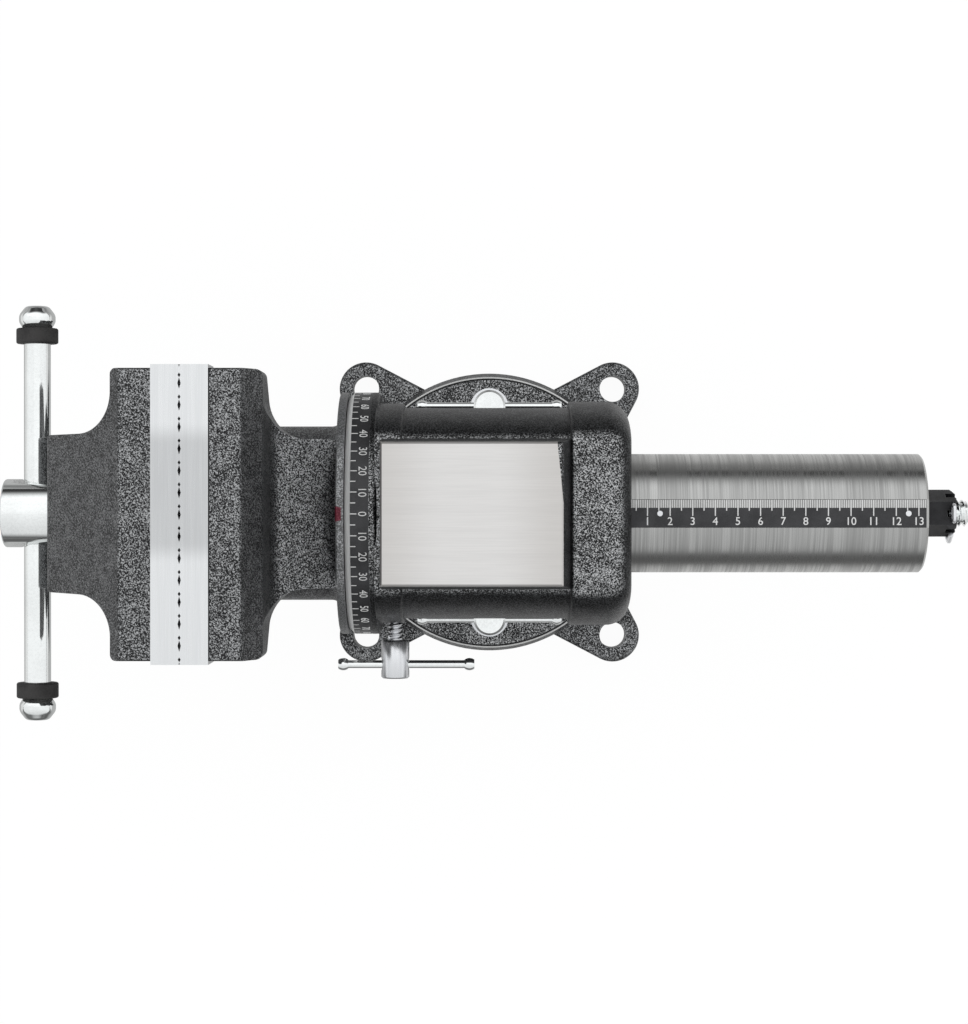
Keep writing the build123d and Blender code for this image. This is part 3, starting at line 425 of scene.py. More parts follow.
def line_vector(graph: ShaderGraph, run: Along, per_metre: float, length_share: float) -> Socket:
    """Stretches the Object coordinates along a line pattern.

    Args:
        graph: Graph to add to.
        run: What the lines follow.
        per_metre: Lines in a metre, across them.
        length_share: Their frequency along themselves, as a share of that.

    Returns:
        The stretched vector's socket.
    """
    long = per_metre * length_share
    scales = {
        Along.X: (long, per_metre, per_metre),
        Along.Y: (per_metre, long, per_metre),
        Along.ROUND_X: (per_metre, long, long),
        Along.ROUND_Y: (long, per_metre, long),
        Along.ROUND_Z: (long, long, per_metre),
    }
    node = graph.node("ShaderNodeMapping")
    graph.put(node.inputs["Vector"], graph.place())
    node.inputs["Scale"].default_value = scales[run]
    return node.outputs["Vector"]


def clear_graph(holder: bpy.types.Material | bpy.types.World) -> ShaderGraph:
    """Gives a material or a world an empty node tree.

    Args:
        holder: The material or world.

    Returns:
        The graph of its tree.
    """
    holder.use_nodes = True
    holder.node_tree.nodes.clear()
    return ShaderGraph(holder.node_tree)


def new_material(name: str) -> tuple[bpy.types.Material, ShaderGraph, bpy.types.Node]:
    """Makes a material with one Principled BSDF.

    Args:
        name: The material's name.

    Returns:
        The material, its graph and its shader node.
    """
    material = bpy.data.materials.new(name)
    graph = clear_graph(material)
    shader = graph.node("ShaderNodeBsdfPrincipled")
    output = graph.node("ShaderNodeOutputMaterial")
    graph.put(output.inputs["Surface"], shader.outputs["BSDF"])
    return material, graph, shader


def add_bump(
    graph: ShaderGraph, shader: bpy.types.Node, height: Socket, depth: float, strength: object
) -> None:
    """Bumps a shader's surface.

    Args:
        graph: Graph to add to.
        shader: The Principled BSDF.
        height: Height's socket, from 0 to 1.
        depth: Depth of the relief in metres.
        strength: Share of the relief that shows.
    """
    bump = graph.node("ShaderNodeBump")
    bump.inputs["Distance"].default_value = depth
    graph.put(bump.inputs["Strength"], strength)
    graph.put(bump.inputs["Height"], height)
    graph.put(shader.inputs["Normal"], bump.outputs["Normal"])


@dataclass(frozen=True)
class Steel:
    """Bare or plated metal with fine cutting lines."""

    name: str
    colour: Colour
    dark: Colour
    roughness: float
    rough_range: float = 0.06
    run: Along = Along.X
    per_metre: float = 1800.0
    length_share: float = 0.02
    relief: float = 0.02 * MM
    relief_share: float = 0.25
    edge: float = 0.0
    edge_reach: float = 0.35 * MM
    edge_gain: float = 1.25
    edge_lift: float = 0.08

    def build(self, effects: Effects) -> bpy.types.Material:
        """Makes the material.

        Args:
            effects: The shared node groups.

        Returns:
            The material.
        """
        material, graph, shader = new_material(self.name)
        vector = line_vector(graph, self.run, self.per_metre, self.length_share)
        lines = graph.group(effects.lines, Vector=vector, Scale=1.0)
        tone = graph.mix(lines.outputs["Tone"], self.dark, self.colour)
        # a painted highlight along the sharp edges
        if self.edge:
            bright = tuple(min(1.0, c * self.edge_gain + self.edge_lift) for c in self.colour)
            tone = effects.rub(graph, tone, self.edge_reach, self.edge, bright)
        graph.put(shader.inputs["Base Color"], self.mark(graph, tone))
        rough_ends = (self.roughness + self.rough_range, self.roughness - self.rough_range)
        graph.put(shader.inputs["Roughness"], graph.spread(lines.outputs["Tone"], 0.0, 1.0, *rough_ends))
        shader.inputs["Metallic"].default_value = 1.0
        add_bump(graph, shader, lines.outputs["Height"], self.relief, self.relief_share)
        return material

    def mark(self, graph: ShaderGraph, tone: Socket) -> Socket:
        """Marks the metal; plain steel has no marks.

        Args:
            graph: Graph to add to.
            tone: The metal's colour.

        Returns:
            The marked colour.
        """
        return tone


@dataclass(frozen=True)
class PlateSteel(Steel):
    """Ground jaw plates: a painted dark reflection in the middle, and painted shade in small notches of the
    finer cut at their meeting.
    """

    dulled: float = 0.24
    dull_middle: float = 9.0 * MM
    dull_half: float = 25.0 * MM
    dull_soft: float = 5.0 * MM
    pitch: float = 9.1 * MM
    shift: float = 3.4 * MM
    notch_l: float = 1.0 * MM
    notch_w: float = 0.62 * MM
    notch_depth: float = 0.4 * MM
    notch: Colour = (0.014, 0.014, 0.014)

    def mark(self, graph: ShaderGraph, tone: Socket) -> Socket:
        """Paints the dark reflection over the middle and the shade into the notches.

        Args:
            graph: Graph to add to.
            tone: The metal's colour.

        Returns:
            The marked colour.
        """
        low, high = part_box("rear_jaw_plate")
        x, y, z = graph.parts(graph.place())
        # a painted dark reflection over the middle of the plates
        soft_ends = (self.dull_half - self.dull_soft, self.dull_half + self.dull_soft)
        share = graph.spread(graph.away(y, self.dull_middle), *soft_ends, self.dulled, 0.0)
        tone = graph.mix(share, tone, BLACK)
        # notches painted near-black: painted shade inside them
        step = graph.math("PINGPONG", graph.math("SUBTRACT", y, self.shift), self.pitch / 2)
        along = graph.math("DIVIDE", step, self.notch_l)
        across = graph.math("DIVIDE", graph.away(x, low.x), self.notch_w)
        reach = graph.math("ADD", along, across)
        top = graph.math("GREATER_THAN", z, high.z - self.notch_depth)
        notch = graph.times(graph.math("LESS_THAN", reach, 1.0), top)
        return graph.mix(notch, tone, self.notch)


@dataclass(frozen=True)
class Chrome:
    """Bright plating over turned steel, a little wavy."""

    name: str
    colour: Colour
    roughness: float
    wave: float = 0.012 * MM
    waves_per_metre: float = 55.0
    grains_per_metre: float = 900.0
    dull_share: float = 0.9
    rough_gains: Range = (1.5, 0.7)

    def build(self, effects: Effects) -> bpy.types.Material:
        """Makes the material.

        Args:
            effects: The shared node groups.

        Returns:
            The material.
        """
        material, graph, shader = new_material(self.name)
        place = graph.place()
        grain = graph.group(effects.grain, Vector=place, Scale=self.grains_per_metre)
        dull = tuple(c * self.dull_share for c in self.colour)
        graph.put(shader.inputs["Base Color"], graph.mix(grain.outputs["Tone"], dull, self.colour))
        rough_ends = (self.roughness * gain for gain in self.rough_gains)
        graph.put(shader.inputs["Roughness"], graph.spread(grain.outputs["Tone"], 0.0, 1.0, *rough_ends))
        shader.inputs["Metallic"].default_value = 1.0
        wave = graph.noise(place, self.waves_per_metre, detail=1.0)
        add_bump(graph, shader, wave, self.wave, 1.0)
        return material


@dataclass(frozen=True)
class Matt:
    """Dark or plain finish with a fine grain: black oxide, anodising, rubber, print."""

    name: str
    colour: Colour
    light: Colour
    roughness: float
    metallic: float = 0.0
    grains_per_metre: float = 2600.0
    relief: float = 0.03 * MM
    relief_share: float = 0.4
    edge: float = 0.0
    edge_reach: float = 0.4 * MM
    edge_colour: Colour = (0.4, 0.4, 0.4)
    rough_range: float = 0.07

    def build(self, effects: Effects) -> bpy.types.Material:
        """Makes the material.

        Args:
            effects: The shared node groups.

        Returns:
            The material.
        """
        material, graph, shader = new_material(self.name)
        grain = graph.group(effects.grain, Vector=graph.place(), Scale=self.grains_per_metre)
        tone = graph.mix(grain.outputs["Tone"], self.colour, self.light)
        # a painted highlight along the sharp edges
        if self.edge:
            tone = effects.rub(graph, tone, self.edge_reach, self.edge, self.edge_colour)
        graph.put(shader.inputs["Base Color"], tone)
        rough_ends = (self.roughness + self.rough_range, self.roughness - self.rough_range)
        graph.put(shader.inputs["Roughness"], graph.spread(grain.outputs["Tone"], 0.0, 1.0, *rough_ends))
        shader.inputs["Metallic"].default_value = self.metallic
        add_bump(graph, shader, grain.outputs["Height"], self.relief, self.relief_share)
        return material


@dataclass(frozen=True)
class BareFace:
    """A machined face that the paint leaves bare."""

    colour: Colour
    dark: Colour
    roughness: float
    run: Along
    per_metre: float
    metallic: float = 1.0
    fade: float = 0.0
    fade_middle: float = 0.0
    fade_from: float = 10.0 * MM
    fade_to: float = 40.0 * MM
    fade_colour: Colour = (0.30, 0.26, 0.22)

    def ground(self, graph: ShaderGraph, lines: bpy.types.Node, x: Socket) -> Socket:
        """Gives the face's colour, duller towards both ends along X where it fades.

        Args:
            graph: Graph to add to.
            lines: Node of the cutting lines.
            x: Place along X.

        Returns:
            The colour's socket.
        """
        tone = graph.mix(lines.outputs["Tone"], self.dark, self.colour)
        if not self.fade:
            return tone
        share = graph.spread(graph.away(x, self.fade_middle), self.fade_from, self.fade_to, 0.0, self.fade)
        return graph.mix(share, tone, self.fade_colour)


@dataclass(frozen=True)
class CastPaint:
    """Charcoal hammertone enamel on an iron casting, darker on steep faces by painted shade.

    From steep_from down to steep_to, the upward part of the surface's normal, the colours of the painted
    shade come in.
    """

    name: str
    dark: Colour = (0.006, 0.0063, 0.0068)
    silver: Colour = (0.43, 0.436, 0.442)
    steep_dark: Colour = (0.008, 0.0083, 0.0088)
    steep_silver: Colour = (0.23, 0.234, 0.24)
    steep_from: float = 0.97
    steep_to: float = 0.55
    flecks_per_metre: float = 1680.0
    relief: float = 0.10 * MM
    relief_share: float = 0.5
    # colour, share and reach of the painted highlight along the sharp edges
    rubbed: Colour = (0.34, 0.345, 0.35)
    rubbed_share: float = 0.5
    rubbed_reach: float = 0.5 * MM
    rough_ends: Range = (0.40, 0.33)
    metal_ends: Range = (0.2, 0.8)
    coat: float = 0.2
    steep_coat: float = 0.05
    coat_roughness: float = 0.16
    specular: float = 0.18
    line_share: float = 0.03

    def build(self, effects: Effects) -> bpy.types.Material:
        """Makes the material.

        Args:
            effects: The shared node groups.

        Returns:
            The material.
        """
        material, graph, shader = new_material(self.name)
        place = graph.place()
        paint = graph.group(effects.hammertone, Vector=place, Scale=self.flecks_per_metre)
        flecks = paint.outputs["Flecks"]
        # steep faces take darker colours: painted shade
        steep = graph.spread(graph.rise(), self.steep_to, self.steep_from, 1.0, 0.0)
        dark = graph.mix(steep, self.dark, self.steep_dark)
        silver = graph.mix(steep, self.silver, self.steep_silver)
        tone = graph.mix(flecks, dark, silver)
        tone = effects.rub(graph, tone, self.rubbed_reach, self.rubbed_share, self.rubbed)
        tone = self.mark(graph, place, flecks, tone)
        rough = graph.spread(flecks, 0.0, 1.0, *self.rough_ends)
        metal = graph.spread(flecks, 0.0, 1.0, *self.metal_ends)
        relief_share = self.relief_share
        coat = graph.blend(steep, self.coat, self.steep_coat)
        for mask, face in self.bare_faces(graph, place):
            vector = line_vector(graph, face.run, face.per_metre, self.line_share)
            lines = graph.group(effects.lines, Vector=vector, Scale=1.0)
            tone = graph.mix(mask, tone, face.ground(graph, lines, graph.parts(place)[0]))
            rough = graph.blend(mask, rough, face.roughness)
            metal = graph.blend(mask, metal, face.metallic)
            relief_share = graph.blend(mask, relief_share, 0.0)
            coat = graph.blend(mask, coat, 0.0)
        graph.put(shader.inputs["Base Color"], tone)
        graph.put(shader.inputs["Roughness"], rough)
        graph.put(shader.inputs["Metallic"], metal)
        graph.put(shader.inputs["Coat Weight"], coat)
        shader.inputs["Coat Roughness"].default_value = self.coat_roughness
        shader.inputs["Specular IOR Level"].default_value = self.specular
        add_bump(graph, shader, paint.outputs["Height"], self.relief, relief_share)
        return material

    def mark(self, graph: ShaderGraph, place: Socket, flecks: Socket, tone: Socket) -> Socket:
        """Paints marks over the enamel; a plain casting has none.

        Args:
            graph: Graph to add to.
            place: Object coordinates.
            flecks: Where the silver flecks are.
            tone: The enamel's colour.

        Returns:
            The marked colour.
        """
        return tone

    def bare_faces(self, graph: ShaderGraph, place: Socket) -> list[tuple[Socket, BareFace]]:
        """Lists the machined faces; a plain casting has none.

        Args:
            graph: Graph to add to.
            place: Object coordinates.

        Returns:
            Each face's mask and finish.
        """
        return []


@dataclass(frozen=True)
class HeadPaint(CastPaint):
    """Enamel of the rear jaw: a dull red pointer on its flange, a painted highlight on the flange and a
    painted shadow line behind its plate.
    """

    joint: Colour = (0.003, 0.003, 0.0035)
    joint_w: float = 0.7 * MM
    joint_soft: float = 0.28 * MM
    red: Colour = (0.10, 0.008, 0.018)
    light_red: Colour = (0.22, 0.05, 0.075)
    half_w: float = 3.3 * MM
    back_share: float = 0.8
    flange_t: float = 3.7 * MM
    flange_gap: float = 0.3 * MM
    flange_bevel: float = 1.0 * MM
    rim_share: float = 0.3

    def mark(self, graph: ShaderGraph, place: Socket, flecks: Socket, tone: Socket) -> Socket:
        """Paints the pointer, the flange's painted highlight and the painted shadow behind the plate.

        Args:
            graph: Graph to add to.
            place: Object coordinates.
            flecks: Where the silver flecks are.
            tone: The enamel's colour.

        Returns:
            The marked colour.
        """
        dial = DialMarks()
        x, y, z = graph.parts(place)
        back = dial.bevel_front - self.flange_gap
        half = graph.spread(x, back - self.flange_t, back, self.half_w, self.half_w * self.back_share)
        near = graph.math("LESS_THAN", graph.away(y), half)
        along = graph.inside(x, back - self.flange_t, back - self.flange_bevel)
        top = graph.math("GREATER_THAN", z, dial.axis_z + dial.radius - self.flange_bevel)
        mask = graph.times(graph.times(near, along), top)
        # the flange lightened towards the highlight colour: painted highlight
        rim = graph.math("GREATER_THAN", x, back - self.flange_t)
        tone = graph.mix(graph.times(rim, self.rim_share), tone, self.rubbed)
        tone = graph.mix(mask, tone, graph.mix(flecks, self.red, self.light_red))
        # a painted shadow line where the gap behind the plate would be
        foot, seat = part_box("rear_jaw_plate")
        joint_shadow_end = seat.x + self.joint_w
        joint = graph.spread(x, joint_shadow_end - self.joint_soft, joint_shadow_end, 1.0, 0.0)
        behind_plate = graph.math("GREATER_THAN", z, foot.z)
        return graph.mix(graph.times(joint, behind_plate), tone, self.joint)


@dataclass(frozen=True)
class BodyPaint(CastPaint):
    """Enamel of the body casting, with its ground anvil, turned bevel and a painted highlight on the
    turntable rim.

    The anvil's rear edge leans forward by back_slant towards one side. The rim's painted highlight is a
    bright line just below the turntable's top.
    """

    # lighter silver than the jaws' enamel and darker steep colours: painted light and painted shade on the
    # same enamel
    silver: Colour = (0.52, 0.526, 0.532)
    steep_dark: Colour = (0.004, 0.0042, 0.0045)
    steep_silver: Colour = (0.085, 0.087, 0.09)
    steep_from: float = 0.985
    steep_to: float = 0.72
    anvil: BareFace = BareFace(
        (0.745, 0.732, 0.718), (0.70, 0.688, 0.675), 0.4, Along.X, 1500.0, fade=0.25, fade_middle=-9.0 * MM
    )
    bevel: BareFace = BareFace((0.88, 0.88, 0.87), (0.72, 0.72, 0.71), 0.45, Along.ROUND_X, 2200.0, 0.15)
    rim: BareFace = BareFace((0.85, 0.85, 0.84), (0.66, 0.66, 0.65), 0.42, Along.ROUND_Z, 900.0, 0.2)
    anvil_edge: float = 0.85 * MM
    anvil_back_x: float = 31.3 * MM
    back_slant: float = 2.5 * MM
    slant_from_y: float = 5.0 * MM
    slant_to_y: float = 30.0 * MM
    bevel_drop: float = 2.8 * MM
    bevel_room: float = 0.2 * MM
    rim_r: float = 64.5 * MM
    rim_w: float = 0.9 * MM
    rim_low: float = 1.7 * MM
    rim_high: float = 0.9 * MM
    turntable_t: float = 12.0 * MM

    def bare_faces(self, graph: ShaderGraph, place: Socket) -> list[tuple[Socket, BareFace]]:
        """Lists the machined faces of the body.

        Args:
            graph: Graph to add to.
            place: Object coordinates.

        Returns:
            Each face's mask and finish.
        """
        dial = DialMarks()
        x, y, z = graph.parts(place)
        top = graph.math("GREATER_THAN", z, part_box("body_casting")[1].z - self.anvil_edge)
        slant = graph.math("SUBTRACT", y, self.slant_from_y)
        slant = graph.math("DIVIDE", slant, self.slant_to_y - self.slant_from_y, clamp=True)
        ends = graph.math("ADD", x, graph.times(slant, self.back_slant))
        anvil = graph.times(top, graph.math("LESS_THAN", ends, self.anvil_back_x))
        reach = self.distance(graph, y, graph.math("SUBTRACT", z, dial.axis_z))
        turned = graph.inside(reach, dial.radius - self.bevel_drop, dial.radius + self.bevel_room)
        bevel = graph.times(graph.inside(x, dial.bevel_front, dial.front), turned)
        turntable_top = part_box("swivel_base")[1].z + self.turntable_t
        # a painted highlight line round the turntable's rim
        around = graph.math("GREATER_THAN", self.distance(graph, x, y), self.rim_r - self.rim_w)
        level = graph.inside(z, turntable_top - self.rim_low, turntable_top - self.rim_high)
        rim = graph.times(around, level)
        return [(anvil, self.anvil), (bevel, self.bevel), (rim, self.rim)]

    @staticmethod
    def distance(graph: ShaderGraph, first: Socket, second: Socket) -> Socket:
        """Gives the distance from an axis.

        Args:
            graph: Graph to add to.
            first: One coordinate across the axis.
            second: The other one.

        Returns:
            The distance's socket.
        """
        squares = graph.math("ADD", graph.times(first, first), graph.times(second, second))
        return graph.math("SQRT", squares)


def link_mesh(name: str, shape: bmesh.types.BMesh) -> bpy.types.Object:
    """Turns a bmesh into an object at the origin.

    Args:
        name: The piece's name.
        shape: The shape, which is freed.

    Returns:
        The new object.
    """
    mesh = bpy.data.meshes.new(name)
    shape.to_mesh(mesh)
    shape.free()
    made = bpy.data.objects.new(name, mesh)
    bpy.context.scene.collection.objects.link(made)
    return made


def dress(piece: bpy.types.Object, material: bpy.types.Material) -> None:
    """Gives a piece one material.

    Args:
        piece: The piece.
        material: Its finish.
    """
    piece.data.materials.clear()
    piece.data.materials.append(material)


def report(piece: bpy.types.Object) -> None:
    """Logs a finished piece's name and number of faces."""
    LOG.info("%s: %d faces", piece.name, len(piece.data.polygons))


def add_bar(shape: bmesh.types.BMesh, size: Vector, matrix: Matrix) -> None:
    """Adds a small box.

    Args:
        shape: Shape to add to.
        size: Its lengths.
        matrix: Where it goes.
    """
    made = bmesh.ops.create_cube(shape, size=1.0)
    bmesh.ops.scale(shape, vec=size, verts=made["verts"])
    bmesh.ops.transform(shape, matrix=matrix, verts=made["verts"])


def number_mesh(text: str, height: float, thickness: float, bold: float = 0.0) -> bpy.types.Mesh:
    """Makes a number as a thin solid, centred on the origin and facing +Z.

    Args:
        text: Digits to write.
        height: Height of a digit.
        thickness: Thickness of the print.
        bold: Growth of each stroke's edge.

    Returns:
        The mesh.
    """
    curve = bpy.data.curves.new("number_" + text, "FONT")
    curve.body = text
    curve.align_x = "CENTER"
    curve.align_y = "CENTER"
    curve.size = height / DIGIT_SHARE
    curve.extrude = thickness / 2
    curve.offset = bold
    curve.resolution_u = DIGIT_STEPS
    holder = bpy.data.objects.new("number_" + text, curve)
    bpy.context.scene.collection.objects.link(holder)
    graph = bpy.context.evaluated_depsgraph_get()
    mesh = bpy.data.meshes.new_from_object(holder.evaluated_get(graph))
    bpy.data.objects.remove(holder)
    bpy.data.curves.remove(curve)
    low = min(v.co.y for v in mesh.vertices)
    high = max(v.co.y for v in mesh.vertices)
    scale = height / (high - low)
    mesh.transform(Matrix.Scale(scale, 4))
    mesh.transform(Matrix.Translation((0, -scale * (low + high) / 2, 0)))
    return mesh


@dataclass
class DialMarks:
    """Printed degrees on the black dial band, and fine marks on the bevel in front of it."""

    bevel_w: float = 2.55 * MM
    bevel_drop: float = 2.5 * MM
    print_t: float = 0.05 * MM
    five_l: float = 2.35 * MM
    ten_l: float = 2.85 * MM
    mark_w: float = 0.42 * MM
    digit_h: float = 3.6 * MM
    digit_narrow: float = 0.86
    digit_middle: float = 5.35 * MM
    fine_w: float = 0.2 * MM
    fine_share: float = 0.55
    fine_middle: float = 0.32
    mark_step: int = 5
    number_step: int = 10
    fine_step: int = 1

    def __post_init__(self) -> None:
        """Reads the dial's place from its node."""
        low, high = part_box("angle_dial")
        self.front = low.x
        self.axis_z = (low.z + high.z) / 2
        self.radius = (high.z - low.z) / 2
        self.bevel_front = self.front - self.bevel_w

    @staticmethod
    def _angles(step: int) -> range:
        """Returns the angles of a whole turn in even steps, in degrees from the top."""
        return range(step - 180, 181, step)

    def _turn(self, degrees: float) -> Matrix:
        """Gives the turn about the spindle axis that takes the top to an angle.

        Args:
            degrees: The angle from the top.

        Returns:
            The turn's matrix.
        """
        centre = Matrix.Translation((0, 0, self.axis_z))
        return centre @ Matrix.Rotation(-math.radians(degrees), 4, "X")

    def print_marks(self, material: bpy.types.Material) -> bpy.types.Object:
        """Builds the white lines and figures.

        Args:
            material: The print's finish.

        Returns:
            The piece.
        """
        shape = bmesh.new()
        for degrees in self._angles(self.mark_step):
            length = self.ten_l if degrees % self.number_step == 0 else self.five_l
            size = Vector((length, self.mark_w, self.print_t))
            spot = Matrix.Translation((self.front + length / 2, 0, self.radius))
            add_bar(shape, size, self._turn(degrees) @ spot)
        for degrees in self._angles(self.number_step):
            away = abs(degrees)
            self._add_number(shape, str(min(away, 180 - away)), degrees)
        piece = link_mesh("dial_print", shape)
        dress(piece, material)
        return piece

    def _add_number(self, shape: bmesh.types.BMesh, text: str, degrees: float) -> None:
        """Bends one number round the dial.

        Args:
            shape: Shape to add to.
            text: The number.
            degrees: Its angle from the top.
        """
        mesh = number_mesh(text, self.digit_h, self.print_t)
        facing = Matrix.Rotation(math.radians(-90), 4, "Z")
        mesh.transform(facing @ Matrix.Scale(self.digit_narrow, 4, (1, 0, 0)))
        for vertex in mesh.vertices:
            reach = self.radius + vertex.co.z
            angle = vertex.co.y / self.radius
            vertex.co = Vector((
                self.front + self.digit_middle + vertex.co.x,
                reach * math.sin(angle),
                reach * math.cos(angle),
            ))
        mesh.transform(self._turn(degrees))
        shape.from_mesh(mesh)
        bpy.data.meshes.remove(mesh)

    def cut_marks(self, material: bpy.types.Material) -> bpy.types.Object:
        """Builds the fine degree lines on the bevel.

        Args:
            material: The lines' finish.

        Returns:
            The piece.
        """
        shape = bmesh.new()
        slope = math.atan2(self.bevel_drop, self.bevel_w)
        size = Vector((self.bevel_w * self.fine_share / math.cos(slope), self.fine_w, self.print_t))
        middle_x = self.front - self.bevel_w * self.fine_middle
        middle_r = self.radius - self.bevel_drop * self.fine_middle
        spot = Matrix.Translation((middle_x, 0, middle_r)) @ Matrix.Rotation(-slope, 4, "Y")
        for degrees in self._angles(self.fine_step):
            add_bar(shape, size, self._turn(degrees) @ spot)
        piece = link_mesh("dial_bevel_marks", shape)
        dress(piece, material)
        return piece

    def build(self, finishes: dict[str, bpy.types.Material]) -> None:
        """Builds and places both sets of marks.

        Args:
            finishes: Materials by name.
        """
        for piece in (self.print_marks(finishes["white_print"]), self.cut_marks(finishes["dark_print"])):
            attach(piece, "swivel_body")
            report(piece)


@dataclass
class RulerMarks:
    """Printed millimetres and centimetres on the ruler strip."""

    zero_x: float = 59.7 * MM
    first_mm: int = -4
    last_mm: int = 133
    band_w: float = 3.55 * MM
    band_t: float = 0.03 * MM
    mm_w: float = 0.36 * MM
    mark_w: float = 0.48 * MM
    five_l: float = 4.85 * MM
    ten_l: float = 7.15 * MM
    digit_h: float = 3.5 * MM
    digit_y: float = -3.35 * MM
    digit_bold: float = 0.03 * MM
    print_t: float = 0.06 * MM
    margin: float = 0.15 * MM

    def build(self, finishes: dict[str, bpy.types.Material]) -> None:
        """Builds and places the print.

        Args:
            finishes: Materials by name.
        """
        low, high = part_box("ruler")
        edge = high.y - self.margin
        band = bmesh.new()
        size = Vector((high.x - low.x - 2 * self.margin, self.band_w, self.band_t))
        add_bar(band, size, Matrix.Translation(((low.x + high.x) / 2, edge - self.band_w / 2, high.z)))
        self._place(link_mesh("ruler_band", band), finishes["grey_print"])
        marks = bmesh.new()
        for count in range(self.first_mm, self.last_mm + 1):
            whole, half = count % 10 == 0, count % 5 == 0
            length = self.ten_l if whole else self.five_l if half else self.band_w
            size = Vector((self.mark_w if half else self.mm_w, length, self.print_t))
            spot = (self.zero_x + count * MM, edge - length / 2, high.z)
            add_bar(marks, size, Matrix.Translation(spot))
        for centimetre in range(1, self.last_mm // 10 + 1):
            mesh = number_mesh(str(centimetre), self.digit_h, self.print_t, self.digit_bold)
            mesh.transform(Matrix.Translation((self.zero_x + centimetre * 10 * MM, self.digit_y, high.z)))
            marks.from_mesh(mesh)
            bpy.data.meshes.remove(mesh)
        self._place(link_mesh("ruler_print", marks), finishes["white_print"])

    @staticmethod
    def _place(piece: bpy.types.Object, finish: bpy.types.Material) -> None:
        """Dresses a piece of print and fixes it to the slide bar's body.

        Args:
            piece: The print.
            finish: Its material.
        """
        dress(piece, finish)
        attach(piece, "front_slide")
        report(piece)


@dataclass(frozen=True)
class ThreadCut:
    """One helical groove, cut in a turned piece."""

    start: Vector
    direction: Vector
    radius: float
    pitch: float
    depth: float
    length: float
    flat_share: float = 0.12
    mouth_share: float = 0.42
    over: float = 0.6 * MM
    steps: int = 20

    def cutter(self) -> bmesh.types.BMesh:
        """Spins the groove's section along its helix.

        Returns:
            The closed cutter.
        """
        shape = bmesh.new()
        half_root = self.pitch * self.flat_share / 2
        half_mouth = self.pitch * self.mouth_share * (1 + self.over / self.depth)
        profile = [
            (-half_root, self.radius - self.depth),
            (half_root, self.radius - self.depth),
            (half_mouth, self.radius + self.over),
            (-half_mouth, self.radius + self.over),
        ]
        corners = [shape.verts.new((along, 0, reach)) for along, reach in profile]
        face = shape.faces.new(corners)
        count = int(self.length / self.pitch * self.steps)
        bmesh.ops.spin(
            shape,
            geom=[face] + list(face.edges) + corners,
            cent=(0, 0, 0),
            axis=(1, 0, 0),
            dvec=(self.pitch / self.steps, 0, 0),
            angle=2 * math.pi * count / self.steps,
            steps=count,
            use_duplicate=False,
        )
        bmesh.ops.remove_doubles(shape, verts=shape.verts[:], dist=MERGE)
        bmesh.ops.holes_fill(shape, edges=[e for e in shape.edges if e.is_boundary], sides=4)
        bmesh.ops.recalc_face_normals(shape, faces=shape.faces[:])
        turn = Vector((1, 0, 0)).rotation_difference(self.direction).to_matrix().to_4x4()
        bmesh.ops.transform(shape, matrix=Matrix.Translation(self.start) @ turn, verts=shape.verts[:])
        return shape


def threaded_copy(node: str, name: str, cuts: list[ThreadCut]) -> bpy.types.Object:
    """Copies a CAD node and cuts threads in the copy.

    Args:
        node: The node's name.
        name: The new piece's name.
        cuts: The grooves.

    Returns:
        The piece.
    """
    shape = bmesh.new()
    shape.from_mesh(frame["nodes"][node].data)
    bmesh.ops.remove_doubles(shape, verts=shape.verts[:], dist=MERGE)
    piece = link_mesh(name, shape)
    tools = [link_mesh("thread_tool_%d" % number, cut.cutter()) for number, cut in enumerate(cuts)]
    for tool in tools:
        step = piece.modifiers.new(tool.name, "BOOLEAN")
        step.operation = "DIFFERENCE"
        step.solver = "EXACT"
        step.object = tool
    graph = bpy.context.evaluated_depsgraph_get()
    cut_mesh = bpy.data.meshes.new_from_object(piece.evaluated_get(graph))
    piece.modifiers.clear()
    spare = [piece.data] + [tool.data for tool in tools]
    piece.data = cut_mesh
    for tool in tools:
        bpy.data.objects.remove(tool)
    for mesh in spare:
        bpy.data.meshes.remove(mesh)
    cut_mesh.name = name
    return piece


@dataclass
class Spindle:
    """Spindle with its feed thread and the thread of its tail."""

    feed_pitch: float = 5.0 * MM
    feed_depth: float = 2.1 * MM
    feed_front: float = 26.0 * MM
    feed_length: float = 152.0 * MM
    feed_r: float = 11.0 * MM
    feed_flat: float = 0.35
    tail_pitch: float = 2.4 * MM
    tail_depth: float = 1.15 * MM
    tail_length: float = 22.0 * MM
    tail_r: float = 6.1 * MM
    tail_steps: int = 24

    def build(self, finishes: dict[str, bpy.types.Material]) -> None:
        """Builds and places the threaded spindle.

        Args:
            finishes: Materials by name.
        """
        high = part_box("spindle")[1]
        axis_z = DialMarks().axis_z
        along = Vector((1, 0, 0))
        feed_start = Vector((self.feed_front, 0, axis_z))
        feed = ThreadCut(
            feed_start, along, self.feed_r, self.feed_pitch, self.feed_depth, self.feed_length,
            flat_share=self.feed_flat,
        )
        tail_start = Vector((high.x - self.tail_length + self.tail_pitch, 0, axis_z))
        tail = ThreadCut(
            tail_start, along, self.tail_r, self.tail_pitch, self.tail_depth, self.tail_length,
            steps=self.tail_steps,
        )
        piece = threaded_copy("spindle", "spindle_threaded", [feed, tail])
        dress(piece, finishes["chrome"])
        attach(piece, "screw")
        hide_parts("spindle")
        report(piece)


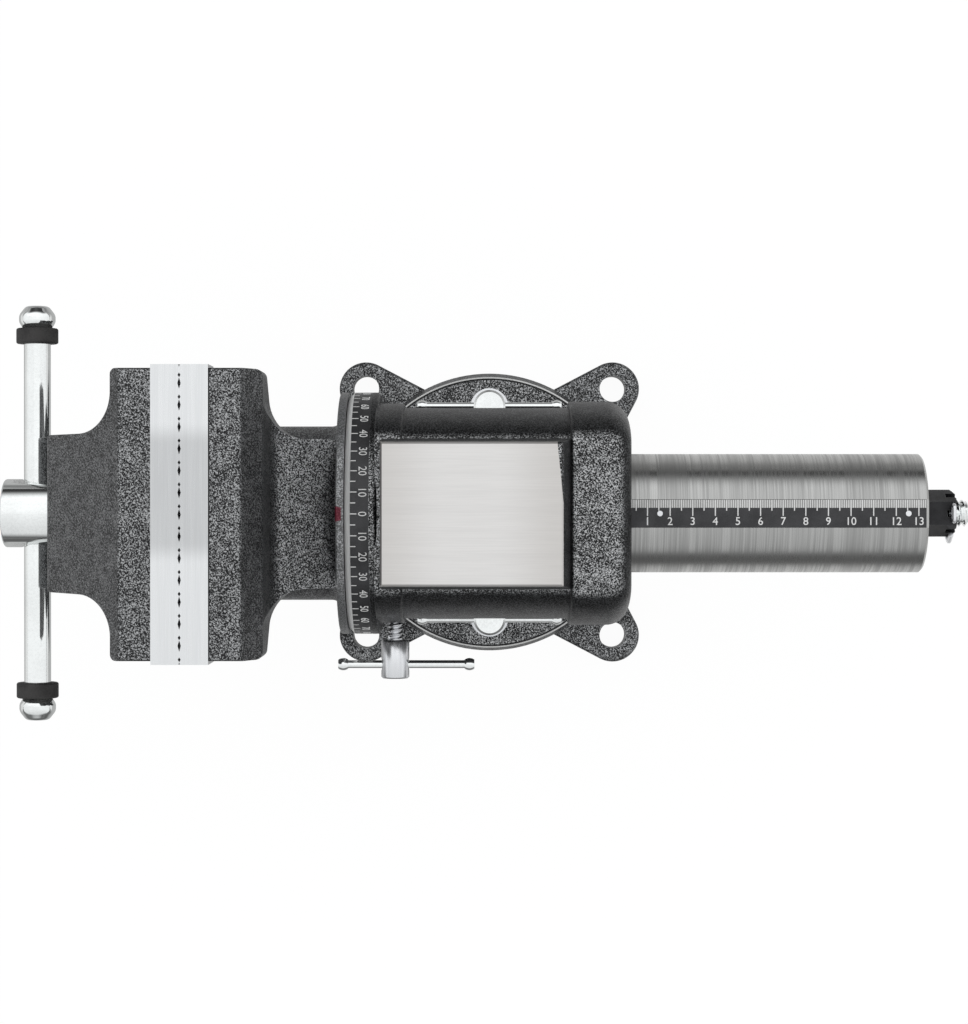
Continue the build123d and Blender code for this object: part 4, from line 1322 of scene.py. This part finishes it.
@dataclass
class HeadLock:
    """Lock bolt whose thread shows between the body and its barrel."""

    pitch: float = 2.1 * MM
    depth: float = 0.8 * MM
    radius: float = 3.25 * MM
    barrel_l: float = 17.4 * MM
    end_share: float = 0.4

    def build(self, finishes: dict[str, bpy.types.Material]) -> None:
        """Builds and places the threaded bolt.

        Args:
            finishes: Materials by name.
        """
        low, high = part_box("head_lock_bolt")
        start = Vector(((low.x + high.x) / 2, high.y, (low.z + high.z) / 2))
        length = high.y - low.y - self.barrel_l - self.pitch * self.end_share
        cut = ThreadCut(start, Vector((0, -1, 0)), self.radius, self.pitch, self.depth, length)
        piece = threaded_copy("head_lock_bolt", "head_lock_bolt_threaded", [cut])
        dress(piece, finishes["zinc"])
        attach(piece, "head_lock")
        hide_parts("head_lock_bolt")
        report(piece)


class Finishes:
    """All finishes of the vise, and which CAD node wears which."""

    SLOT_FINISH = {
        "cast_paint": "cast_paint", "ground_steel": "ground_plate", "hard_steel": "hard_steel",
        "turned_steel": "turned_bar", "plain_steel": "plain_steel", "chrome": "chrome",
        "black_steel": "black_oxide", "zinc_steel": "zinc", "scale_black": "scale_black",
        "rubber": "rubber", "brass": "brass",
    }
    NODE_FINISH = {"body_casting": "cast_paint_body", "rear_jaw": "cast_paint_head"}

    def __init__(self) -> None:
        """Builds the materials."""
        effects = Effects()
        specs = [
            CastPaint("cast_paint"),
            BodyPaint("cast_paint_body"),
            HeadPaint("cast_paint_head"),
            PlateSteel("ground_plate", (0.775, 0.785, 0.79), (0.735, 0.745, 0.752), 0.3, run=Along.Y,
                       per_metre=2200.0, length_share=0.015, relief_share=0.08, edge=0.15),
            Steel("hard_steel", (0.5, 0.5, 0.5), (0.36, 0.36, 0.36), 0.38, run=Along.Y, edge=0.5),
            Steel("turned_bar", (0.48, 0.48, 0.47), (0.34, 0.34, 0.333), 0.29, run=Along.ROUND_X,
                  per_metre=1500.0, length_share=0.014, relief_share=0.5),
            Steel("plain_steel", (0.6, 0.6, 0.6), (0.45, 0.45, 0.45), 0.34, run=Along.ROUND_X, edge=0.4),
            Chrome("chrome", (0.925, 0.945, 0.937), 0.07),
            Matt("black_oxide", (0.01, 0.01, 0.011), (0.026, 0.026, 0.028), 0.36, metallic=0.6, edge=0.2),
            Steel("zinc", (0.84, 0.85, 0.86), (0.72, 0.73, 0.75), 0.24, run=Along.ROUND_Z, edge=0.2),
            Matt("scale_black", (0.026, 0.026, 0.028), (0.046, 0.046, 0.049), 0.4, metallic=0.3,
                 relief_share=0.15),
            Matt("rubber", (0.014, 0.0135, 0.0135), (0.034, 0.032, 0.031), 0.66, relief=0.06 * MM),
            Steel("brass", (0.72, 0.55, 0.25), (0.6, 0.44, 0.2), 0.3, run=Along.ROUND_Y, edge=0.3),
            Matt("white_print", (0.80, 0.80, 0.79), (0.88, 0.88, 0.87), 0.55, relief_share=0.05),
            Matt("grey_print", (0.30, 0.30, 0.295), (0.38, 0.38, 0.37), 0.55, relief_share=0.05),
            Matt("dark_print", (0.06, 0.06, 0.06), (0.10, 0.10, 0.10), 0.6, relief_share=0.05),
        ]
        self.materials = {spec.name: spec.build(effects) for spec in specs}

    def dress_nodes(self) -> None:
        """Gives every CAD node its finish."""
        for part in frame["record"]["subparts"]:
            node = part["node"]
            finish = self.NODE_FINISH.get(node, self.SLOT_FINISH[part["material_slot"]])
            dress(frame["nodes"][node], self.materials[finish])


@dataclass(frozen=True)
class Lamp:
    """A soft rectangular lamp that faces the vise."""

    name: str
    place: tuple[float, float, float]
    size: Range
    watts: float = 0.5
    aim: tuple[float, float, float] = (0.0, 0.0, 0.1)

    def build(self) -> None:
        """Builds the lamp and turns it to its aim."""
        light = bpy.data.lights.new(self.name, "AREA")
        light.shape = "RECTANGLE"
        light.size, light.size_y = self.size
        light.energy = self.watts
        holder = bpy.data.objects.new(self.name, light)
        holder.location = self.place
        holder.rotation_mode = "QUATERNION"
        holder.rotation_quaternion = (Vector(self.aim) - Vector(self.place)).to_track_quat("-Z", "Y")
        bpy.context.scene.collection.objects.link(holder)


@dataclass
class Studio:
    """Floor, soft light and camera.

    Reflections see the floor glowing as a table with painted light: table_glow near the vise, lit_glow far
    to the one side, dim_glow far to the other, and a painted shadow of the vise from shade_front to
    shade_back along X.
    They see a sky that is bright above and falls to horizon_x along the vise and horizon_y across it.
    """

    floor_r: float = 6.0
    floor_sides: int = 96
    floor_tone: float = 0.86
    seen_share: float = 0.93
    seen_strength: float = 1.03
    table_glow: float = 0.80
    table_half_w: float = 0.13
    lit_end: float = 0.42
    lit_glow: float = 0.33
    dim_end: float = 0.32
    dim_glow: float = 0.13
    shade_front: float = -0.38
    shade_back: float = 0.09
    shade_soft: float = 0.04
    shade: float = 0.42
    sky_strength: float = 0.86
    sky_colour: Colour = (0.98, 0.99, 1.0)
    horizon_x: float = 0.80
    horizon_y: float = 0.03
    horizon_ends: Range = (0.35, 0.85)
    side_ends: Range = (-0.3, 0.3)
    lit_ends: Range = (0.13, 0.62)
    dim_ends: Range = (-0.10, 0.35)
    side_gain: float = 0.24
    mirror_gain: float = 1.16
    camera_x: float = -2.6 * MM
    camera_y: float = 7.0 * MM
    camera_height: float = 1.264
    tilt_degrees: float = -0.32
    lens: float = 90.1
    sensor: float = 36.0
    clip_ends: Range = (0.05, 50.0)
    lamps: tuple[Lamp, ...] = (
        Lamp("overhead", (0.0, 0.5, 2.4), (2.4, 1.2)),
        Lamp("side", (-1.6, 1.4, 1.5), (1.2, 1.2)),
    )

    def build_floor(self) -> None:
        """Builds the pale floor, white to the camera and a table with painted light to what reflects it."""
        shape = bmesh.new()
        bmesh.ops.create_circle(shape, cap_ends=True, segments=self.floor_sides, radius=self.floor_r)
        floor = link_mesh("floor", shape)
        material = bpy.data.materials.new("floor")
        graph = clear_graph(material)
        matt = graph.node("ShaderNodeBsdfDiffuse")
        graph.put(matt.inputs["Color"], (self.floor_tone, self.floor_tone, self.floor_tone))
        rays = graph.node("ShaderNodeLightPath")
        seen = graph.math("MAXIMUM", rays.outputs["Is Camera Ray"], rays.outputs["Is Glossy Ray"])
        seen = graph.math("MAXIMUM", seen, rays.outputs["Is Transmission Ray"])
        table = self.table_light(graph)
        plain = graph.node("ShaderNodeEmission")
        graph.put(plain.inputs["Color"], WHITE)
        glow = graph.blend(rays.outputs["Is Camera Ray"], table, self.seen_strength)
        graph.put(plain.inputs["Strength"], glow)
        mix = graph.node("ShaderNodeMixShader")
        graph.put(mix.inputs[0], graph.times(seen, self.seen_share))
        graph.put(mix.inputs[1], matt.outputs["BSDF"])
        graph.put(mix.inputs[2], plain.outputs["Emission"])
        output = graph.node("ShaderNodeOutputMaterial")
        graph.put(output.inputs["Surface"], mix.outputs["Shader"])
        dress(floor, material)

    def table_light(self, graph: ShaderGraph) -> Socket:
        """Gives the table's painted brightness in reflections: dimmer far to the sides, with a painted
        shadow of the vise.

        Args:
            graph: Graph to add to.

        Returns:
            The brightness's socket.
        """
        x, y, _ = graph.parts(graph.place())
        away = graph.away(y)
        lit = graph.spread(away, self.table_half_w, self.lit_end, self.table_glow, self.lit_glow)
        dim = graph.spread(away, self.table_half_w, self.dim_end, self.table_glow, self.dim_glow)
        table = graph.blend(graph.math("LESS_THAN", y, 0.0), lit, dim)
        # painted shadow of the vise on the table seen in reflections
        behind = graph.spread(x, self.shade_back - self.shade_soft, self.shade_back, self.shade, 0.0)
        front = graph.spread(x, self.shade_front - self.shade_soft, self.shade_front)
        shaded = graph.math("SUBTRACT", 1.0, graph.times(front, behind))
        return graph.times(table, shaded)

    def build_world(self) -> None:
        """Builds the sky: a bright ceiling, a dark horizon to both sides, white to the camera."""
        world = bpy.data.worlds.new("studio")
        bpy.context.scene.world = world
        graph = clear_graph(world)
        _, side, up = graph.parts(graph.node("ShaderNodeTexCoord").outputs["Generated"])
        rays = graph.node("ShaderNodeLightPath")
        level = graph.math("SUBTRACT", 1.0, graph.times(up, up))
        sideways = graph.math("DIVIDE", graph.times(side, side), level)
        horizon = graph.spread(sideways, *self.horizon_ends, self.horizon_x, self.horizon_y)
        lit = graph.spread(up, *self.lit_ends)
        dim = graph.spread(up, *self.dim_ends)
        high = graph.blend(graph.spread(side, *self.side_ends, 1.0, 0.0), lit, dim)
        strength = graph.blend(high, horizon, self.sky_strength)
        gain = graph.math("ADD", graph.times(side, self.side_gain), 1.0)
        mirror = graph.blend(rays.outputs["Is Glossy Ray"], 1.0, self.mirror_gain)
        sky = graph.node("ShaderNodeBackground")
        graph.put(sky.inputs["Strength"], graph.times(graph.times(strength, gain), mirror))
        graph.put(sky.inputs["Color"], self.sky_colour)
        white = graph.node("ShaderNodeBackground")
        graph.put(white.inputs["Color"], WHITE)
        mix = graph.node("ShaderNodeMixShader")
        graph.put(mix.inputs[0], rays.outputs["Is Camera Ray"])
        graph.put(mix.inputs[1], sky.outputs["Background"])
        graph.put(mix.inputs[2], white.outputs["Background"])
        output = graph.node("ShaderNodeOutputWorld")
        graph.put(output.inputs["Surface"], mix.outputs["Shader"])

    def build_camera(self) -> None:
        """Builds the camera above the vise."""
        data = bpy.data.cameras.new("camera")
        data.lens = self.lens
        data.sensor_width = self.sensor
        data.clip_start, data.clip_end = self.clip_ends
        camera = bpy.data.objects.new("camera", data)
        camera.location = (self.camera_x, self.camera_y, self.camera_height)
        camera.rotation_euler = (math.radians(self.tilt_degrees), 0.0, 0.0)
        bpy.context.scene.collection.objects.link(camera)
        bpy.context.scene.camera = camera

    def build(self) -> None:
        """Builds the whole studio."""
        self.build_floor()
        self.build_world()
        for lamp in self.lamps:
            lamp.build()
        self.build_camera()
        bpy.context.scene.view_settings.view_transform = "Standard"
        LOG.info("studio built")


def main() -> None:
    """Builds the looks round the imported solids."""
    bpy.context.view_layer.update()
    finishes = Finishes()
    finishes.dress_nodes()
    DialMarks().build(finishes.materials)
    RulerMarks().build(finishes.materials)
    Spindle().build(finishes.materials)
    HeadLock().build(finishes.materials)
    Studio().build()


if __name__ == "__main__":
    main()
